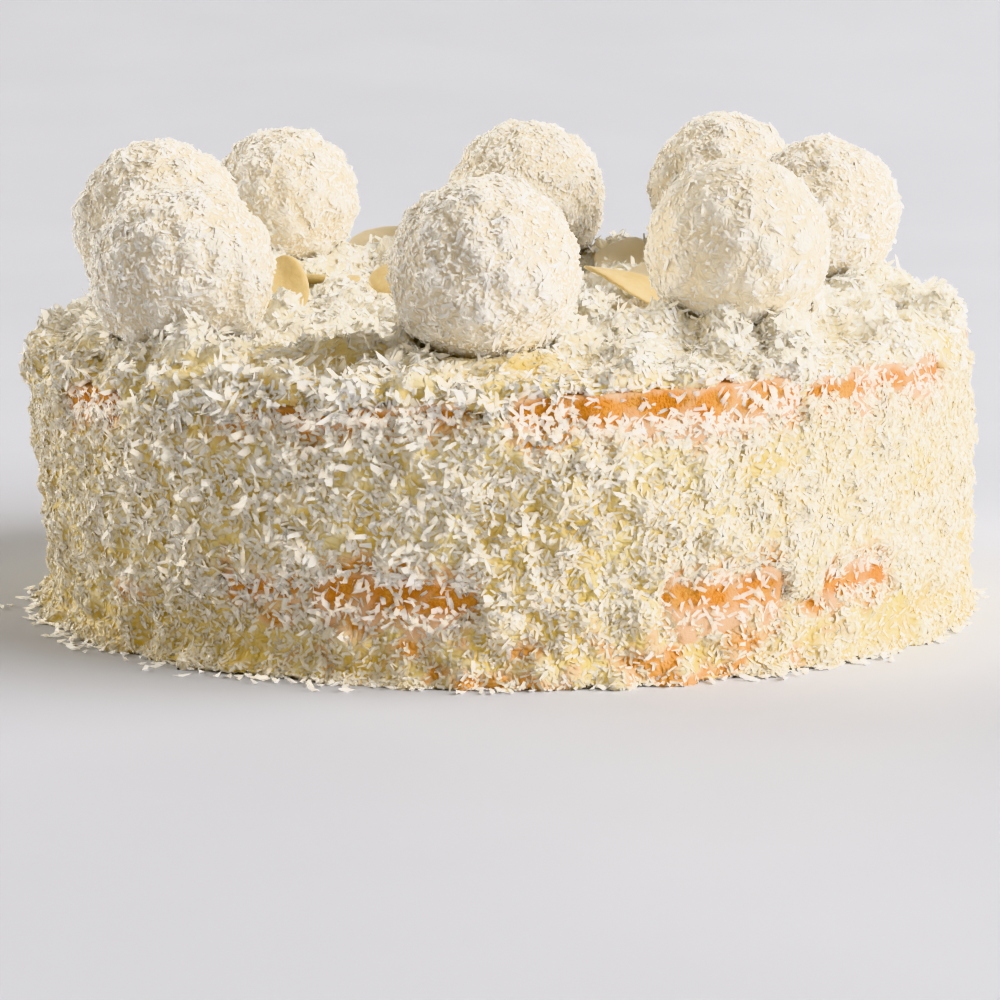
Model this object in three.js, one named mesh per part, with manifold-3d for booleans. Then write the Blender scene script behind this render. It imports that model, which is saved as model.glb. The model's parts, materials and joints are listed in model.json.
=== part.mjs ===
// Round coconut layer cake: two sponge layers, a cream filling between them, cream and shredded
// coconut round the side and over the top, a ring of coconut pralines and almond flakes on top.
// Millimetres, +Z up, the front faces -Y, the origin is the middle of the base.

import * as THREE from 'three';
import { mergeVertices } from 'three/addons/utils/BufferGeometryUtils.js';
import Module from 'manifold-3d';

const wasm = await Module();
wasm.setup();
const radians = THREE.MathUtils.degToRad;
const smoothstep = THREE.MathUtils.smoothstep;

// Whole cake
const ANGLE_STEPS = 60;
const GAP = 0.3; // clearance between neighbouring pieces
const COAT_RADIUS = 79.3; // outside of the cream and coconut at the top edge
const COAT_THICKNESS = 3.4;
const COAT_DRAW_IN = 3.8; // how far the left side draws in from the top edge to the base
const COAT_LIP = 0.7; // rounding where the coat ends at a bare patch of sponge
const COCONUT_BUMP = 0.45; // height of the coconut bumps on the cream

// Layers, as heights on the axis and rises per millimetre to the right and to the back
const LOWER_TOP = 17.5;
const UPPER_FLOOR = { height: 29.3, right: 0.015, back: 0.012 };
const UPPER_TOP = { height: 44.2, right: 0.035, back: 0.03 };
const CREAM_TOP = { height: 48.8, right: 0.03, back: 0.035 };
const SPONGE_EDGE = 0.8; // broken edge of the baked layers
const SPONGE_CRUMB = 0.45; // depth of the hollows in the bare sponge
const CRUST_RISE = { angle: 20, half: 42, height: 1.4, inner: 62, outer: 72 };
const CREAM_DOME = { height: 2, radius: 30 };
const SHOULDER = { left: 5.2, right: 3.6 }; // rounding of the top edge
const TOP_RINGS = [67, 58, 48, 38, 26, 13]; // radii of the corners of the top face

// Bare patches: angle from the front, half width in degrees, height in mm
const UPPER_PATCHES = [
  { angle: 17, half: 17, tall: 6 },
  { angle: 51, half: 12, tall: 4.8 },
  { angle: -18, half: 20, tall: 1.8 },
  { angle: -54, half: 9, tall: 7 },
  { angle: 94, half: 13, tall: 3.2 },
];
const LOWER_PATCHES = [
  { angle: -12, half: 11, tall: 6.4 },
  { angle: -28, half: 7, tall: 2.2 },
  { angle: 26, half: 9, tall: 5.8 },
  { angle: 45, half: 7, tall: 4.4 },
  { angle: -60, half: 6, tall: 2.6 },
];
const BACK_TURN = 188; // a front patch at angle a is met again at the back at this angle less a
const UPPER_PATCH_MIDDLE = { height: 40.6, right: 2.2 };
const LOWER_PATCH_MIDDLE = { height: 13, right: -0.8 };

// Foot: the low skirt of fallen coconut
const FOOT_SPREAD = { left: 3.4, right: 1.2 };
const FOOT_HEIGHT = 4.5;

// Pralines: angle from the front, distance from the axis, diameter and height of the middle
const PRALINES = [
  { name: 'praline_front', angle: -2.3, ring: 57, diameter: 30.3, middle: 59.4, flats: [] },
  { name: 'praline_front_right', angle: 41.2, ring: 55.8, diameter: 29.7, middle: 62.1, flats: [] },
  { name: 'praline_right', angle: 94, ring: 54.8, diameter: 26.8, middle: 64.3, flats: [] },
  { name: 'praline_back_right', angle: 135.4, ring: 57.6, diameter: 28.2, middle: 66.6, flats: [] },
  { name: 'praline_back', angle: 174.9, ring: 56.2, diameter: 30.2, middle: 63.5, flats: [] },
  { name: 'praline_back_left', angle: 223, ring: 57, diameter: 27.4, middle: 64.8, flats: [] },
  { name: 'praline_left', angle: 268, ring: 57.3, diameter: 30.2, middle: 62.4, flats: [] },
  {
    name: 'praline_front_left',
    angle: 306,
    ring: 61.4,
    diameter: 30.4,
    middle: 57.8,
    flats: [new THREE.Vector3(0.92, -0.3, 0.1), new THREE.Vector3(-0.1, -0.25, 0.95)],
  },
];
const PRALINE_SINK = 2.2; // depth of a praline in the cream
const PRALINE_MOUND = 15; // reach of the cream pushed up round a praline
const PRALINE_BUMP = 0.9; // height of the coconut bumps
const PRALINE_FLAT = 0.9; // distance of a flattened side, as a share of the radius
const PRALINE_DETAIL = 4;

// Almond flakes: place, heading of the long axis, lean of its far end, roll, length and width
const ALMONDS = [
  { x: -36, y: -4, heading: 90, lean: 78, roll: 6, length: 10.6, width: 8.4 },
  { x: -21, y: 58, heading: 8, lean: 18, roll: 34, length: 17, width: 9.5 },
  { x: 21, y: -11, heading: 174, lean: 21, roll: -14, length: 16, width: 9 },
  { x: 22, y: 40, heading: 84, lean: 22, roll: -8, length: 14, width: 10 },
  { x: -16, y: 12, heading: 20, lean: 26, roll: 20, length: 15, width: 8.6 },
  { x: 3, y: -16, heading: -24, lean: 9, roll: -8, length: 15, width: 8.8 },
  { x: 3, y: 28, heading: 130, lean: 38, roll: 10, length: 15, width: 9 },
  { x: 26, y: 10, heading: 62, lean: 14, roll: 16, length: 14, width: 8.2 },
  { x: -30, y: 25, heading: -40, lean: 6, roll: -8, length: 14, width: 8.4 },
  { x: -10, y: 36, heading: 52, lean: 8, roll: -30, length: 15, width: 9 },
];
const ALMOND = { thickness: 1.1, sunk: 1.3, wave: 0.7, rim: 14, pinch: 0.24 };

// Coconut shreds that are fused on, largest first
const SHRED = { longest: 6.4, shortest: 4.2, width: 2, thickness: 0.6, root: 1.6, sunk: 0.35, bend: 0.8 };
const SHRED_LEAN = { least: 50, most: 68 }; // degrees from standing straight up
const SHREDS = { foot: 12, filling: 32, top: 54 };
const SHRED_LIP_MARGIN = 4.2; // no shred grows nearer to the end of the coat than this
const SHRED_TOP_RADIUS = 73;
const GOLDEN_ANGLE = 137.508;
const GOLDEN_SHARE = 0.618;
const RANDOM_SEED = 41;

// Directions round the axis: angle 0 is the front, positive turns to the right
const at = (angle, radius, height) =>
  new THREE.Vector3(radius * Math.sin(angle), -radius * Math.cos(angle), height);
const tilted = (plane, point) => plane.height + plane.right * point.x + plane.back * point.y;
const leftToRight = (pair, angle) => THREE.MathUtils.lerp(pair.left, pair.right, (1 + Math.sin(angle)) / 2);

function angleBetween(angle, degrees) {
  const difference = angle - radians(degrees);
  return Math.abs(Math.atan2(Math.sin(difference), Math.cos(difference)));
}

// Share of a patch that is open at an angle: 1 in its middle, 0 past its ends
function patchShare(patch, angle) {
  const reach = angleBetween(angle, patch.angle) / radians(patch.half);
  return 1 - smoothstep(reach, 0.45, 1);
}

const withBack = (patches) => [
  ...patches,
  ...patches.map((patch) => ({ ...patch, angle: BACK_TURN - patch.angle })),
];

function openHeight(patches, angle) {
  const heights = withBack(patches).map((patch) => patch.tall * patchShare(patch, angle));
  return GAP + Math.max(...heights);
}

// Lower and upper end of the bare band at an angle
function patchEnds(patches, middle, angle) {
  const height = middle.height + middle.right * Math.sin(angle);
  const half = openHeight(patches, angle) / 2;
  return { low: height - half, high: height + half };
}

const upperPatch = (angle) => patchEnds(UPPER_PATCHES, UPPER_PATCH_MIDDLE, angle);
const lowerPatch = (angle) => patchEnds(LOWER_PATCHES, LOWER_PATCH_MIDDLE, angle);

// Radii of the coat and of the sponge inside it
function coatRadius(angle, height) {
  const drawnIn = leftToRight({ left: COAT_DRAW_IN, right: 0 }, angle);
  return COAT_RADIUS - drawnIn * (1 - height / UPPER_TOP.height);
}

const spongeRadius = (angle, height) => coatRadius(angle, height) - COAT_THICKNESS;
const innerRadius = (angle, height) => spongeRadius(angle, height) + GAP;

function coatSwell(angle, height) {
  return 0.3 * Math.sin(7 * angle + 0.21 * height) + 0.25 * Math.sin(11 * angle - 0.33 * height + 1.3);
}

function coatBump(angle, height) {
  return COCONUT_BUMP * Math.sin(41 * angle + 3.1 * height) * Math.sin(29 * angle - 2.7 * height);
}

const swollenRadius = (angle, height) => coatRadius(angle, height) + coatSwell(angle, height);
const lumpyRadius = (angle, height) => swollenRadius(angle, height) + coatBump(angle, height);

// Heights of the layer faces
function upperSpongeTop(point) {
  const angle = Math.atan2(point.x, -point.y);
  const reach = Math.hypot(point.x, point.y);
  const round = patchShare(CRUST_RISE, angle);
  const rim = smoothstep(reach, CRUST_RISE.inner, CRUST_RISE.outer);
  return tilted(UPPER_TOP, point) + CRUST_RISE.height * round * rim;
}

function pralineMiddle(praline) {
  return at(radians(praline.angle), praline.ring, praline.middle);
}

// The cream rises or dips to the depth at which each praline sits in it
function pralineLift(praline, point) {
  const middle = pralineMiddle(praline);
  const wanted = praline.middle - praline.diameter / 2 + PRALINE_SINK;
  const away = Math.hypot(point.x - middle.x, point.y - middle.y) / PRALINE_MOUND;
  return (wanted - tilted(CREAM_TOP, middle)) * Math.exp(-away * away);
}

function creamLevel(point) {
  const lifts = PRALINES.map((praline) => pralineLift(praline, point));
  const away = Math.hypot(point.x, point.y) / CREAM_DOME.radius;
  const dome = CREAM_DOME.height * Math.exp(-away * away);
  const swell =
    0.35 * Math.sin(0.21 * point.x + 0.13 * point.y) + 0.3 * Math.sin(0.17 * point.x - 0.29 * point.y + 2);
  return tilted(CREAM_TOP, point) + dome + swell + lifts.reduce((sum, lift) => sum + lift, 0);
}

function creamTop(point) {
  const bump = Math.sin(1.3 * point.x + 0.7 * point.y) * Math.sin(1.1 * point.y - 0.5 * point.x);
  return creamLevel(point) + COCONUT_BUMP * bump;
}

// A solid of revolution whose outline changes with the angle. The outline runs from the lower end
// of the axis outwards and up to its upper end, or round a closed ring.
function ringSolid(outlineAt, isRing) {
  const positions = [];
  const triangles = [];
  const outlines = [];
  for (let step = 0; step < ANGLE_STEPS; step += 1) {
    const angle = (2 * Math.PI * step) / ANGLE_STEPS;
    outlines.push(outlineAt(angle).map(([radius, height]) => at(angle, radius, height)));
  }
  const count = outlines[0].length;
  for (const outline of outlines) {
    for (const point of outline) positions.push(point.x, point.y, point.z);
  }
  const bands = isRing ? count : count - 1;
  for (let step = 0; step < ANGLE_STEPS; step += 1) {
    const here = step * count;
    const next = ((step + 1) % ANGLE_STEPS) * count;
    for (let band = 0; band < bands; band += 1) {
      const above = (band + 1) % count;
      triangles.push(here + band, next + band, next + above);
      triangles.push(here + band, next + above, here + above);
    }
  }
  if (!isRing) {
    closeAxis(positions, triangles, outlines, 0, false);
    closeAxis(positions, triangles, outlines, count - 1, true);
  }
  return indexed(positions, triangles);
}

// Closes one end of a solid of revolution with a fan round a point on the axis
function closeAxis(positions, triangles, outlines, place, isTop) {
  const count = outlines[0].length;
  const middle = positions.length / 3;
  const heights = outlines.map((outline) => outline[place].z);
  positions.push(0, 0, heights.reduce((sum, height) => sum + height, 0) / heights.length);
  for (let step = 0; step < ANGLE_STEPS; step += 1) {
    const here = step * count + place;
    const next = ((step + 1) % ANGLE_STEPS) * count + place;
    if (isTop) triangles.push(here, next, middle);
    else triangles.push(next, here, middle);
  }
}

function indexed(positions, triangles) {
  const geometry = new THREE.BufferGeometry();
  geometry.setAttribute('position', new THREE.Float32BufferAttribute(positions, 3));
  geometry.setIndex(triangles);
  return geometry;
}

// Joins and cuts
function toManifold(geometry) {
  return new wasm.Manifold(
    new wasm.Mesh({
      numProp: 3,
      vertProperties: new Float32Array(geometry.attributes.position.array),
      triVerts: new Uint32Array(geometry.index.array),
    }),
  );
}

function fromManifold(solid) {
  const mesh = solid.getMesh();
  return indexed(Array.from(mesh.vertProperties), Array.from(mesh.triVerts));
}

const withJoined = (geometry, pieces) =>
  fromManifold(pieces.reduce((solid, piece) => solid.add(toManifold(piece)), toManifold(geometry)));
const withCut = (geometry, pieces) =>
  fromManifold(pieces.reduce((solid, piece) => solid.subtract(toManifold(piece)), toManifold(geometry)));

// Bare sponge: small hollows only, so that it never grows into the coat
function crumbedRadius(angle, height) {
  const waves = Math.sin(23 * angle + 1.7 * height) + Math.sin(14 * angle - 2.3 * height);
  return spongeRadius(angle, height) - SPONGE_CRUMB * (0.5 + waves / 4);
}

function spongeSide(angle, floor, top) {
  const heights = [0.06, 0.36, 0.68, 0.94].map((share) => floor + share * (top - floor));
  return heights.map((height) => [crumbedRadius(angle, height), height]);
}

function lowerSponge() {
  return ringSolid((angle) => {
    const foot = spongeRadius(angle, 0) - SPONGE_EDGE;
    const rim = spongeRadius(angle, LOWER_TOP) - SPONGE_EDGE;
    return [[foot, 0], ...spongeSide(angle, 0, LOWER_TOP), [rim, LOWER_TOP]];
  }, false);
}

// Radii at which the upper sponge and the cream on it share their corners
function upperRim(angle) {
  return [CRUST_RISE.inner, CRUST_RISE.outer, spongeRadius(angle, UPPER_TOP.height) - SPONGE_EDGE];
}

function upperSponge() {
  return ringSolid((angle) => {
    const rims = upperRim(angle).map((radius) => [radius, upperSpongeTop(at(angle, radius, 0))]);
    const [, , [, top]] = rims;
    const edge = spongeRadius(angle, UPPER_FLOOR.height) - SPONGE_EDGE;
    const floor = tilted(UPPER_FLOOR, at(angle, edge, 0));
    return [[edge, floor], ...spongeSide(angle, floor, top), ...rims.reverse()];
  }, false);
}

// Coat profile points where it ends above or below a bare patch
function lipBelow(angle, height) {
  const middle = innerRadius(angle, height) + COAT_THICKNESS / 2;
  return [
    [innerRadius(angle, height), height + COAT_LIP / 2],
    [middle, height],
    [lumpyRadius(angle, height + COAT_LIP), height + COAT_LIP],
  ];
}

function lipAbove(angle, height) {
  const middle = innerRadius(angle, height) + COAT_THICKNESS / 2;
  return [
    [lumpyRadius(angle, height - COAT_LIP), height - COAT_LIP],
    [middle, height],
    [innerRadius(angle, height), height - COAT_LIP / 2],
  ];
}

function footCream() {
  return ringSolid((angle) => {
    const spread = leftToRight(FOOT_SPREAD, angle) * (0.8 + 0.35 * Math.sin(5 * angle + 0.8));
    const edge = coatRadius(angle, 0) + spread;
    return [
      [innerRadius(angle, 0), 0],
      [edge, 0],
      [edge - 0.3 * spread, 0.22 * FOOT_HEIGHT],
      [coatRadius(angle, FOOT_HEIGHT) + 0.15 * spread, 0.6 * FOOT_HEIGHT],
      ...lipAbove(angle, lowerPatch(angle).low),
    ];
  }, true);
}

function fillingCream() {
  return ringSolid((angle) => {
    const floor = LOWER_TOP + GAP;
    const under = lowerPatch(angle).high;
    const over = upperPatch(angle).low;
    const floorRadius = innerRadius(angle, floor);
    const top = tilted(UPPER_FLOOR, at(angle, innerRadius(angle, UPPER_FLOOR.height), 0)) - GAP;
    const middles = [0.17, 0.33, 0.5, 0.67, 0.83].map((share) => {
      const height = THREE.MathUtils.lerp(under, over, share);
      return [lumpyRadius(angle, height), height];
    });
    return [
      [floorRadius, floor],
      ...lipBelow(angle, under),
      ...middles,
      ...lipAbove(angle, over),
      [innerRadius(angle, top), top],
    ];
  }, false);
}

// The top cream: its lower face follows the sponge, its skirt hangs to the bare patches and its
// shoulder is a quarter of an ellipse
function topCream() {
  return ringSolid((angle) => {
    const lip = upperPatch(angle).high;
    const shoulder = leftToRight(SHOULDER, angle);
    const flatRadius = coatRadius(angle, UPPER_TOP.height) - shoulder;
    const flatHeight = creamTop(at(angle, flatRadius, 0));
    const wallTop = Math.max(lip + COAT_LIP, flatHeight - shoulder);
    const wallMiddle = (lip + COAT_LIP + wallTop) / 2;
    const under = upperRim(angle).map((radius) => [radius, upperSpongeTop(at(angle, radius, 0)) + GAP]);
    const bend = [0.15, 0.5, 0.85].map((share) => {
      const quarter = (share * Math.PI) / 2;
      const radius = flatRadius + shoulder * Math.cos(quarter) + coatBump(angle, flatHeight);
      return [radius, wallTop + (flatHeight - wallTop) * Math.sin(quarter)];
    });
    const flats = TOP_RINGS.map((radius) => [radius, creamTop(at(angle, radius, 0))]);
    return [
      ...under,
      [innerRadius(angle, lip), upperSpongeTop(at(angle, innerRadius(angle, lip), 0)) + GAP],
      ...lipBelow(angle, lip),
      [lumpyRadius(angle, wallMiddle), wallMiddle],
      ...bend,
      ...flats,
    ];
  }, false);
}

// Praline: a ball with bumps of coconut, a little out of round, some sides pressed flat
function pralineBall(praline, index, growth) {
  const ball = new THREE.IcosahedronGeometry(1, PRALINE_DETAIL);
  ball.deleteAttribute('normal');
  ball.deleteAttribute('uv');
  const geometry = mergeVertices(ball);
  const place = geometry.attributes.position;
  const radius = praline.diameter / 2;
  const point = new THREE.Vector3();
  for (let corner = 0; corner < place.count; corner += 1) {
    point.fromBufferAttribute(place, corner).normalize();
    const bump =
      Math.sin(19 * point.x + 2.1 * index) * Math.sin(17 * point.y + 1.3 * index) +
      Math.sin(21 * point.z + 0.7 * index) * Math.sin(16 * (point.x - point.y));
    point.multiplyScalar(radius + PRALINE_BUMP * (bump / 2 - 0.4));
    for (const flat of praline.flats) {
      const outside = point.dot(flat) - PRALINE_FLAT * radius;
      if (outside > 0) point.addScaledVector(flat, -outside);
    }
    point.setLength(point.length() + growth);
    place.setXYZ(corner, point.x, point.y, point.z);
  }
  return geometry;
}

// Almond flake: a thin wavy oval drawn in at one end, both faces split alike
function almondFlake(almond, growth) {
  const positions = [];
  const triangles = [];
  const rim = ALMOND.rim;
  const half = ALMOND.thickness / 2 + growth;
  for (const side of [-1, 1]) {
    positions.push(0, 0, side * half);
    for (let corner = 0; corner < rim; corner += 1) {
      const angle = (2 * Math.PI * corner) / rim;
      const x = (almond.length / 2 + growth) * Math.cos(angle);
      const y = (almond.width / 2 + growth) * Math.sin(angle) * (1 - ALMOND.pinch * Math.cos(angle));
      const wave = ALMOND.wave * Math.cos(2 * angle + almond.heading);
      positions.push(x, y, side * half + wave);
    }
  }
  const upper = rim + 1;
  for (let corner = 0; corner < rim; corner += 1) {
    const here = 1 + corner;
    const next = 1 + ((corner + 1) % rim);
    triangles.push(0, next, here);
    triangles.push(upper, upper + here, upper + next);
    triangles.push(here, next, upper + next);
    triangles.push(here, upper + next, upper + here);
  }
  return indexed(positions, triangles);
}

// The lower end of a flake is sunk in the cream under it
function almondMatrix(almond) {
  const lean = radians(almond.lean);
  const roll = radians(almond.roll);
  const turn = new THREE.Euler(roll, -lean, radians(almond.heading), 'ZYX');
  const onEdge = almond.width * Math.cos(lean) * Math.abs(Math.sin(roll));
  const drop = (almond.length * Math.sin(lean) + onEdge) / 2;
  const surface = creamLevel(new THREE.Vector3(almond.x, almond.y, 0));
  const place = new THREE.Vector3(almond.x, almond.y, surface + drop - ALMOND.sunk + ALMOND.thickness);
  return new THREE.Matrix4().makeRotationFromEuler(turn).setPosition(place);
}

// Coconut shred: a flat strip that tapers and bends away from its root
function shredSolid(root, along, across, length) {
  const normal = new THREE.Vector3().crossVectors(along, across);
  const stations = [
    { share: 0, width: 0.8 },
    { share: 0.55, width: 1 },
    { share: 1, width: 0.3 },
  ];
  const positions = [];
  for (const { share, width } of stations) {
    const middle = root.clone().addScaledVector(along, share * length - SHRED.root);
    middle.addScaledVector(normal, SHRED.bend * share * share);
    for (const [side, face] of [[-1, -1], [1, -1], [1, 1], [-1, 1]]) {
      const corner = middle.clone().addScaledVector(across, (side * width * SHRED.width) / 2);
      corner.addScaledVector(normal, (face * SHRED.thickness) / 2);
      positions.push(corner.x, corner.y, corner.z);
    }
  }
  const triangles = [0, 3, 2, 0, 2, 1, 8, 9, 10, 8, 10, 11];
  for (const base of [0, 4]) {
    for (let side = 0; side < 4; side += 1) {
      const next = (side + 1) % 4;
      triangles.push(base + side, base + next, base + 4 + next);
      triangles.push(base + side, base + 4 + next, base + 4 + side);
    }
  }
  return indexed(positions, triangles);
}

// A shred leans away from the surface normal, its heading and lean drawn from the seeded sequence
function leaningShred(root, normal, share) {
  const length = THREE.MathUtils.lerp(SHRED.longest, SHRED.shortest, share);
  const helper = Math.abs(normal.z) > 0.7 ? new THREE.Vector3(1, 0, 0) : new THREE.Vector3(0, 0, 1);
  const sideways = new THREE.Vector3().crossVectors(normal, helper).normalize();
  sideways.applyAxisAngle(normal, 2 * Math.PI * THREE.MathUtils.seededRandom());
  const leanShare = THREE.MathUtils.seededRandom();
  const lean = radians(THREE.MathUtils.lerp(SHRED_LEAN.least, SHRED_LEAN.most, leanShare));
  const along = normal.clone().multiplyScalar(Math.cos(lean)).addScaledVector(sideways, Math.sin(lean));
  const across = new THREE.Vector3().crossVectors(normal, sideways).normalize();
  return shredSolid(root, along, across, length);
}

function sideShreds(count, endsAt) {
  const shreds = [];
  for (let number = 0; number < count; number += 1) {
    const angle = radians(number * GOLDEN_ANGLE);
    const ends = endsAt(angle);
    const room = ends.high - ends.low - 2 * SHRED_LIP_MARGIN;
    if (room < 0) continue;
    const height = ends.low + SHRED_LIP_MARGIN + room * ((number * GOLDEN_SHARE) % 1);
    const root = at(angle, swollenRadius(angle, height) - SHRED.sunk, height);
    shreds.push(leaningShred(root, at(angle, 1, 0), number / count));
  }
  return shreds;
}

function fillingShreds() {
  const limits = (angle) => ({ low: lowerPatch(angle).high, high: upperPatch(angle).low });
  return sideShreds(SHREDS.filling, limits);
}

function footShreds() {
  return sideShreds(SHREDS.foot, (angle) => {
    const middle = 0.5 * FOOT_HEIGHT + SHRED.shortest / 2;
    return { low: middle - SHRED_LIP_MARGIN, high: lowerPatch(angle).low };
  });
}

// Shreds on the top keep clear of the pralines and the almond flakes
function isClearOnTop(point) {
  const reach = SHRED.longest + GAP;
  const clearOfPralines = PRALINES.every((praline) => {
    const middle = pralineMiddle(praline);
    return Math.hypot(point.x - middle.x, point.y - middle.y) > praline.diameter / 2 + 0.4 * reach;
  });
  const clearOfAlmonds = ALMONDS.every(
    (almond) => Math.hypot(point.x - almond.x, point.y - almond.y) > almond.length / 2 + reach,
  );
  return clearOfPralines && clearOfAlmonds;
}

function topShreds() {
  const shreds = [];
  for (let number = 0; number < SHREDS.top; number += 1) {
    const angle = radians(number * GOLDEN_ANGLE);
    const point = at(angle, SHRED_TOP_RADIUS * Math.sqrt((number + 0.5) / SHREDS.top), 0);
    point.z = creamLevel(point) - SHRED.sunk;
    if (!isClearOnTop(point)) continue;
    shreds.push(leaningShred(point, new THREE.Vector3(0, 0, 1), number / SHREDS.top));
  }
  return shreds;
}

// Finishes
const finish = (color, roughness) => new THREE.MeshStandardMaterial({ color, roughness, metalness: 0 });
const coconutFinish = finish('#f2ead6', 0.85);
const spongeFinish = finish('#d2944a', 0.9);
const almondFinish = finish('#e0c28e', 0.55);

function piece(name, geometry, material) {
  const mesh = new THREE.Mesh(geometry, material);
  mesh.name = name;
  return mesh;
}

function buildLayers() {
  const layers = new THREE.Group();
  THREE.MathUtils.seededRandom(RANDOM_SEED);
  layers.add(piece('sponge_lower', lowerSponge(), spongeFinish));
  layers.add(piece('cream_foot', withJoined(footCream(), footShreds()), coconutFinish));
  layers.add(piece('cream_filling', withJoined(fillingCream(), fillingShreds()), coconutFinish));
  layers.add(piece('sponge_upper', upperSponge(), spongeFinish));
  const seats = PRALINES.map((praline, index) => {
    const middle = pralineMiddle(praline);
    return pralineBall(praline, index, GAP).translate(middle.x, middle.y, middle.z);
  });
  const slots = ALMONDS.map((almond) => almondFlake(almond, GAP).applyMatrix4(almondMatrix(almond)));
  const seated = withCut(topCream(), [...seats, ...slots]);
  layers.add(piece('cream_top', withJoined(seated, topShreds()), coconutFinish));
  return layers;
}

function buildPralines() {
  const ring = new THREE.Group();
  PRALINES.forEach((praline, index) => {
    const ball = piece(praline.name, pralineBall(praline, index, 0), coconutFinish);
    ball.position.copy(pralineMiddle(praline));
    ring.add(ball);
  });
  return ring;
}

function buildAlmonds() {
  const scatter = new THREE.Group();
  ALMONDS.forEach((almond, index) => {
    const flake = piece(`almond_${index + 1}`, almondFlake(almond, 0), almondFinish);
    flake.applyMatrix4(almondMatrix(almond));
    scatter.add(flake);
  });
  return scatter;
}

const cake = new THREE.Group();
cake.add(buildLayers(), buildPralines(), buildAlmonds());

export default cake;
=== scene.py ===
import json
import math

import bmesh
import bpy
import numpy as np
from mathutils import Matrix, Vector, noise

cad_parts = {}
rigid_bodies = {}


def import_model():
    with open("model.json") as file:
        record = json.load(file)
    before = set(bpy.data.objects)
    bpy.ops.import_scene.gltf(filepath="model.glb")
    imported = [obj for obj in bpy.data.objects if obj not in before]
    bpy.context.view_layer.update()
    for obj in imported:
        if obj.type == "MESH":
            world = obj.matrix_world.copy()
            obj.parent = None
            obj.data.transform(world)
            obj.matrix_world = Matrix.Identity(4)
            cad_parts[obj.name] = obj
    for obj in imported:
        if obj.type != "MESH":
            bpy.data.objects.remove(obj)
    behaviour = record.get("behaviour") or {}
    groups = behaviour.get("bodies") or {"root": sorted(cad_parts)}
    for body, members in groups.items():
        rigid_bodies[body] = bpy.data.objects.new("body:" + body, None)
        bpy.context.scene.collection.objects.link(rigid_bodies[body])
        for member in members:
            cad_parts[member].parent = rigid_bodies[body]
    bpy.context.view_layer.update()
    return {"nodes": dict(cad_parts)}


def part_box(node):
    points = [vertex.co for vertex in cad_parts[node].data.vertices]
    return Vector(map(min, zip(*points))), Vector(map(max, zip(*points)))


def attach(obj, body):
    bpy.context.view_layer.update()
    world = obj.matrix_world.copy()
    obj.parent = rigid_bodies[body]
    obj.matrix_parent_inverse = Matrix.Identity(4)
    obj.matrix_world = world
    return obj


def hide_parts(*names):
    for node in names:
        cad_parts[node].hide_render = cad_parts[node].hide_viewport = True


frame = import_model()


# Lower sponge
# A round of baked vanilla sponge with a flat base. Its side is browned and full of small holes,
# and shows where the coat of cream and coconut was scraped thin. Sizes are in millimetres, and angles
# run from the front to the right.
MM = 0.001
STEPS = 480
angles = np.arange(STEPS) * 2 * math.pi / STEPS
COAT_RADIUS = 79.3
COAT_THICKNESS = 3.4
COAT_DRAW_IN = 3.8
COAT_HEIGHT = 44.2
SPONGE_EDGE = 0.8
SPONGE_SWELL = 2.0
LOWER_TOP = 17.5
LOWER_PATCHES = [(-12, 11, 6.4), (-28, 7, 2.2), (26, 9, 5.8), (45, 7, 4.4)]
LOWER_PATCH_MIDDLE = 13.0
LOWER_PATCH_RISE = -0.8
PATCH_FADE = 0.62
BACK_TURN = 188
SPONGE_SIDE_RINGS = 20
DAB_THICKNESS = 0.5


def coat_radius(height):
    """Outside of the coat, drawn in on the left towards the base."""
    drawn_in = COAT_DRAW_IN * (1 - np.sin(angles)) / 2
    return COAT_RADIUS - drawn_in * (1 - height / COAT_HEIGHT)


def sponge_radius(height):
    return coat_radius(height) - COAT_THICKNESS


def between(start, end, share):
    return start + (end - start) * share


def smooth(low, high, value):
    share = np.clip((value - low) / (high - low), 0, 1)
    return share * share * (3 - 2 * share)


def turn_away(angle):
    """How far each angle lies from one angle given in degrees, in radians."""
    away = angles - math.radians(angle)
    return np.abs(np.arctan2(np.sin(away), np.cos(away)))


def open_height(patches):
    """Height of the bare band at each angle, for patches of (angle, half width, height) and their like
    behind."""
    both = patches + [(BACK_TURN - angle, half, tall) for angle, half, tall in patches]
    height = np.zeros(STEPS)
    for angle, half, tall in both:
        reach = turn_away(angle) / math.radians(half)
        height = np.maximum(height, tall * (1 - smooth(PATCH_FADE, 1, reach)))
    return height


def turned_mesh(name, rings, closing="axis"):
    """Mesh from rings of (radius, height), in millimetres, from below to above. It closes on the axis at
    both ends, or on itself as a ring, or stays open."""
    count = len(rings)
    corners = np.empty((count, STEPS, 3))
    for place, (radius, height) in zip(corners, rings):
        place[:, 0] = radius * np.sin(angles)
        place[:, 1] = -radius * np.cos(angles)
        place[:, 2] = height
    number = np.arange(count * STEPS).reshape(count, STEPS)
    low = number if closing == "ring" else number[:-1]
    high = np.roll(number, -1, axis=0) if closing == "ring" else number[1:]
    quads = np.stack([low, np.roll(low, -1, axis=1), np.roll(high, -1, axis=1), high], axis=-1)
    faces = quads.reshape(-1, 4).tolist()
    places = corners.reshape(-1, 3)
    if closing == "axis":
        ends = [[0, 0, corners[0, :, 2].mean()], [0, 0, corners[-1, :, 2].mean()]]
        below, above = number[0], number[-1]
        faces += [(a, b, count * STEPS) for a, b in zip(np.roll(below, -1), below)]
        faces += [(a, b, count * STEPS + 1) for a, b in zip(above, np.roll(above, -1))]
        places = np.concatenate([places, ends])
    mesh = bpy.data.meshes.new(name)
    mesh.from_pydata((places * MM).tolist(), [], faces)
    mesh.polygons.foreach_set("use_smooth", np.ones(len(mesh.polygons), dtype=bool))
    return mesh


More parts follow.
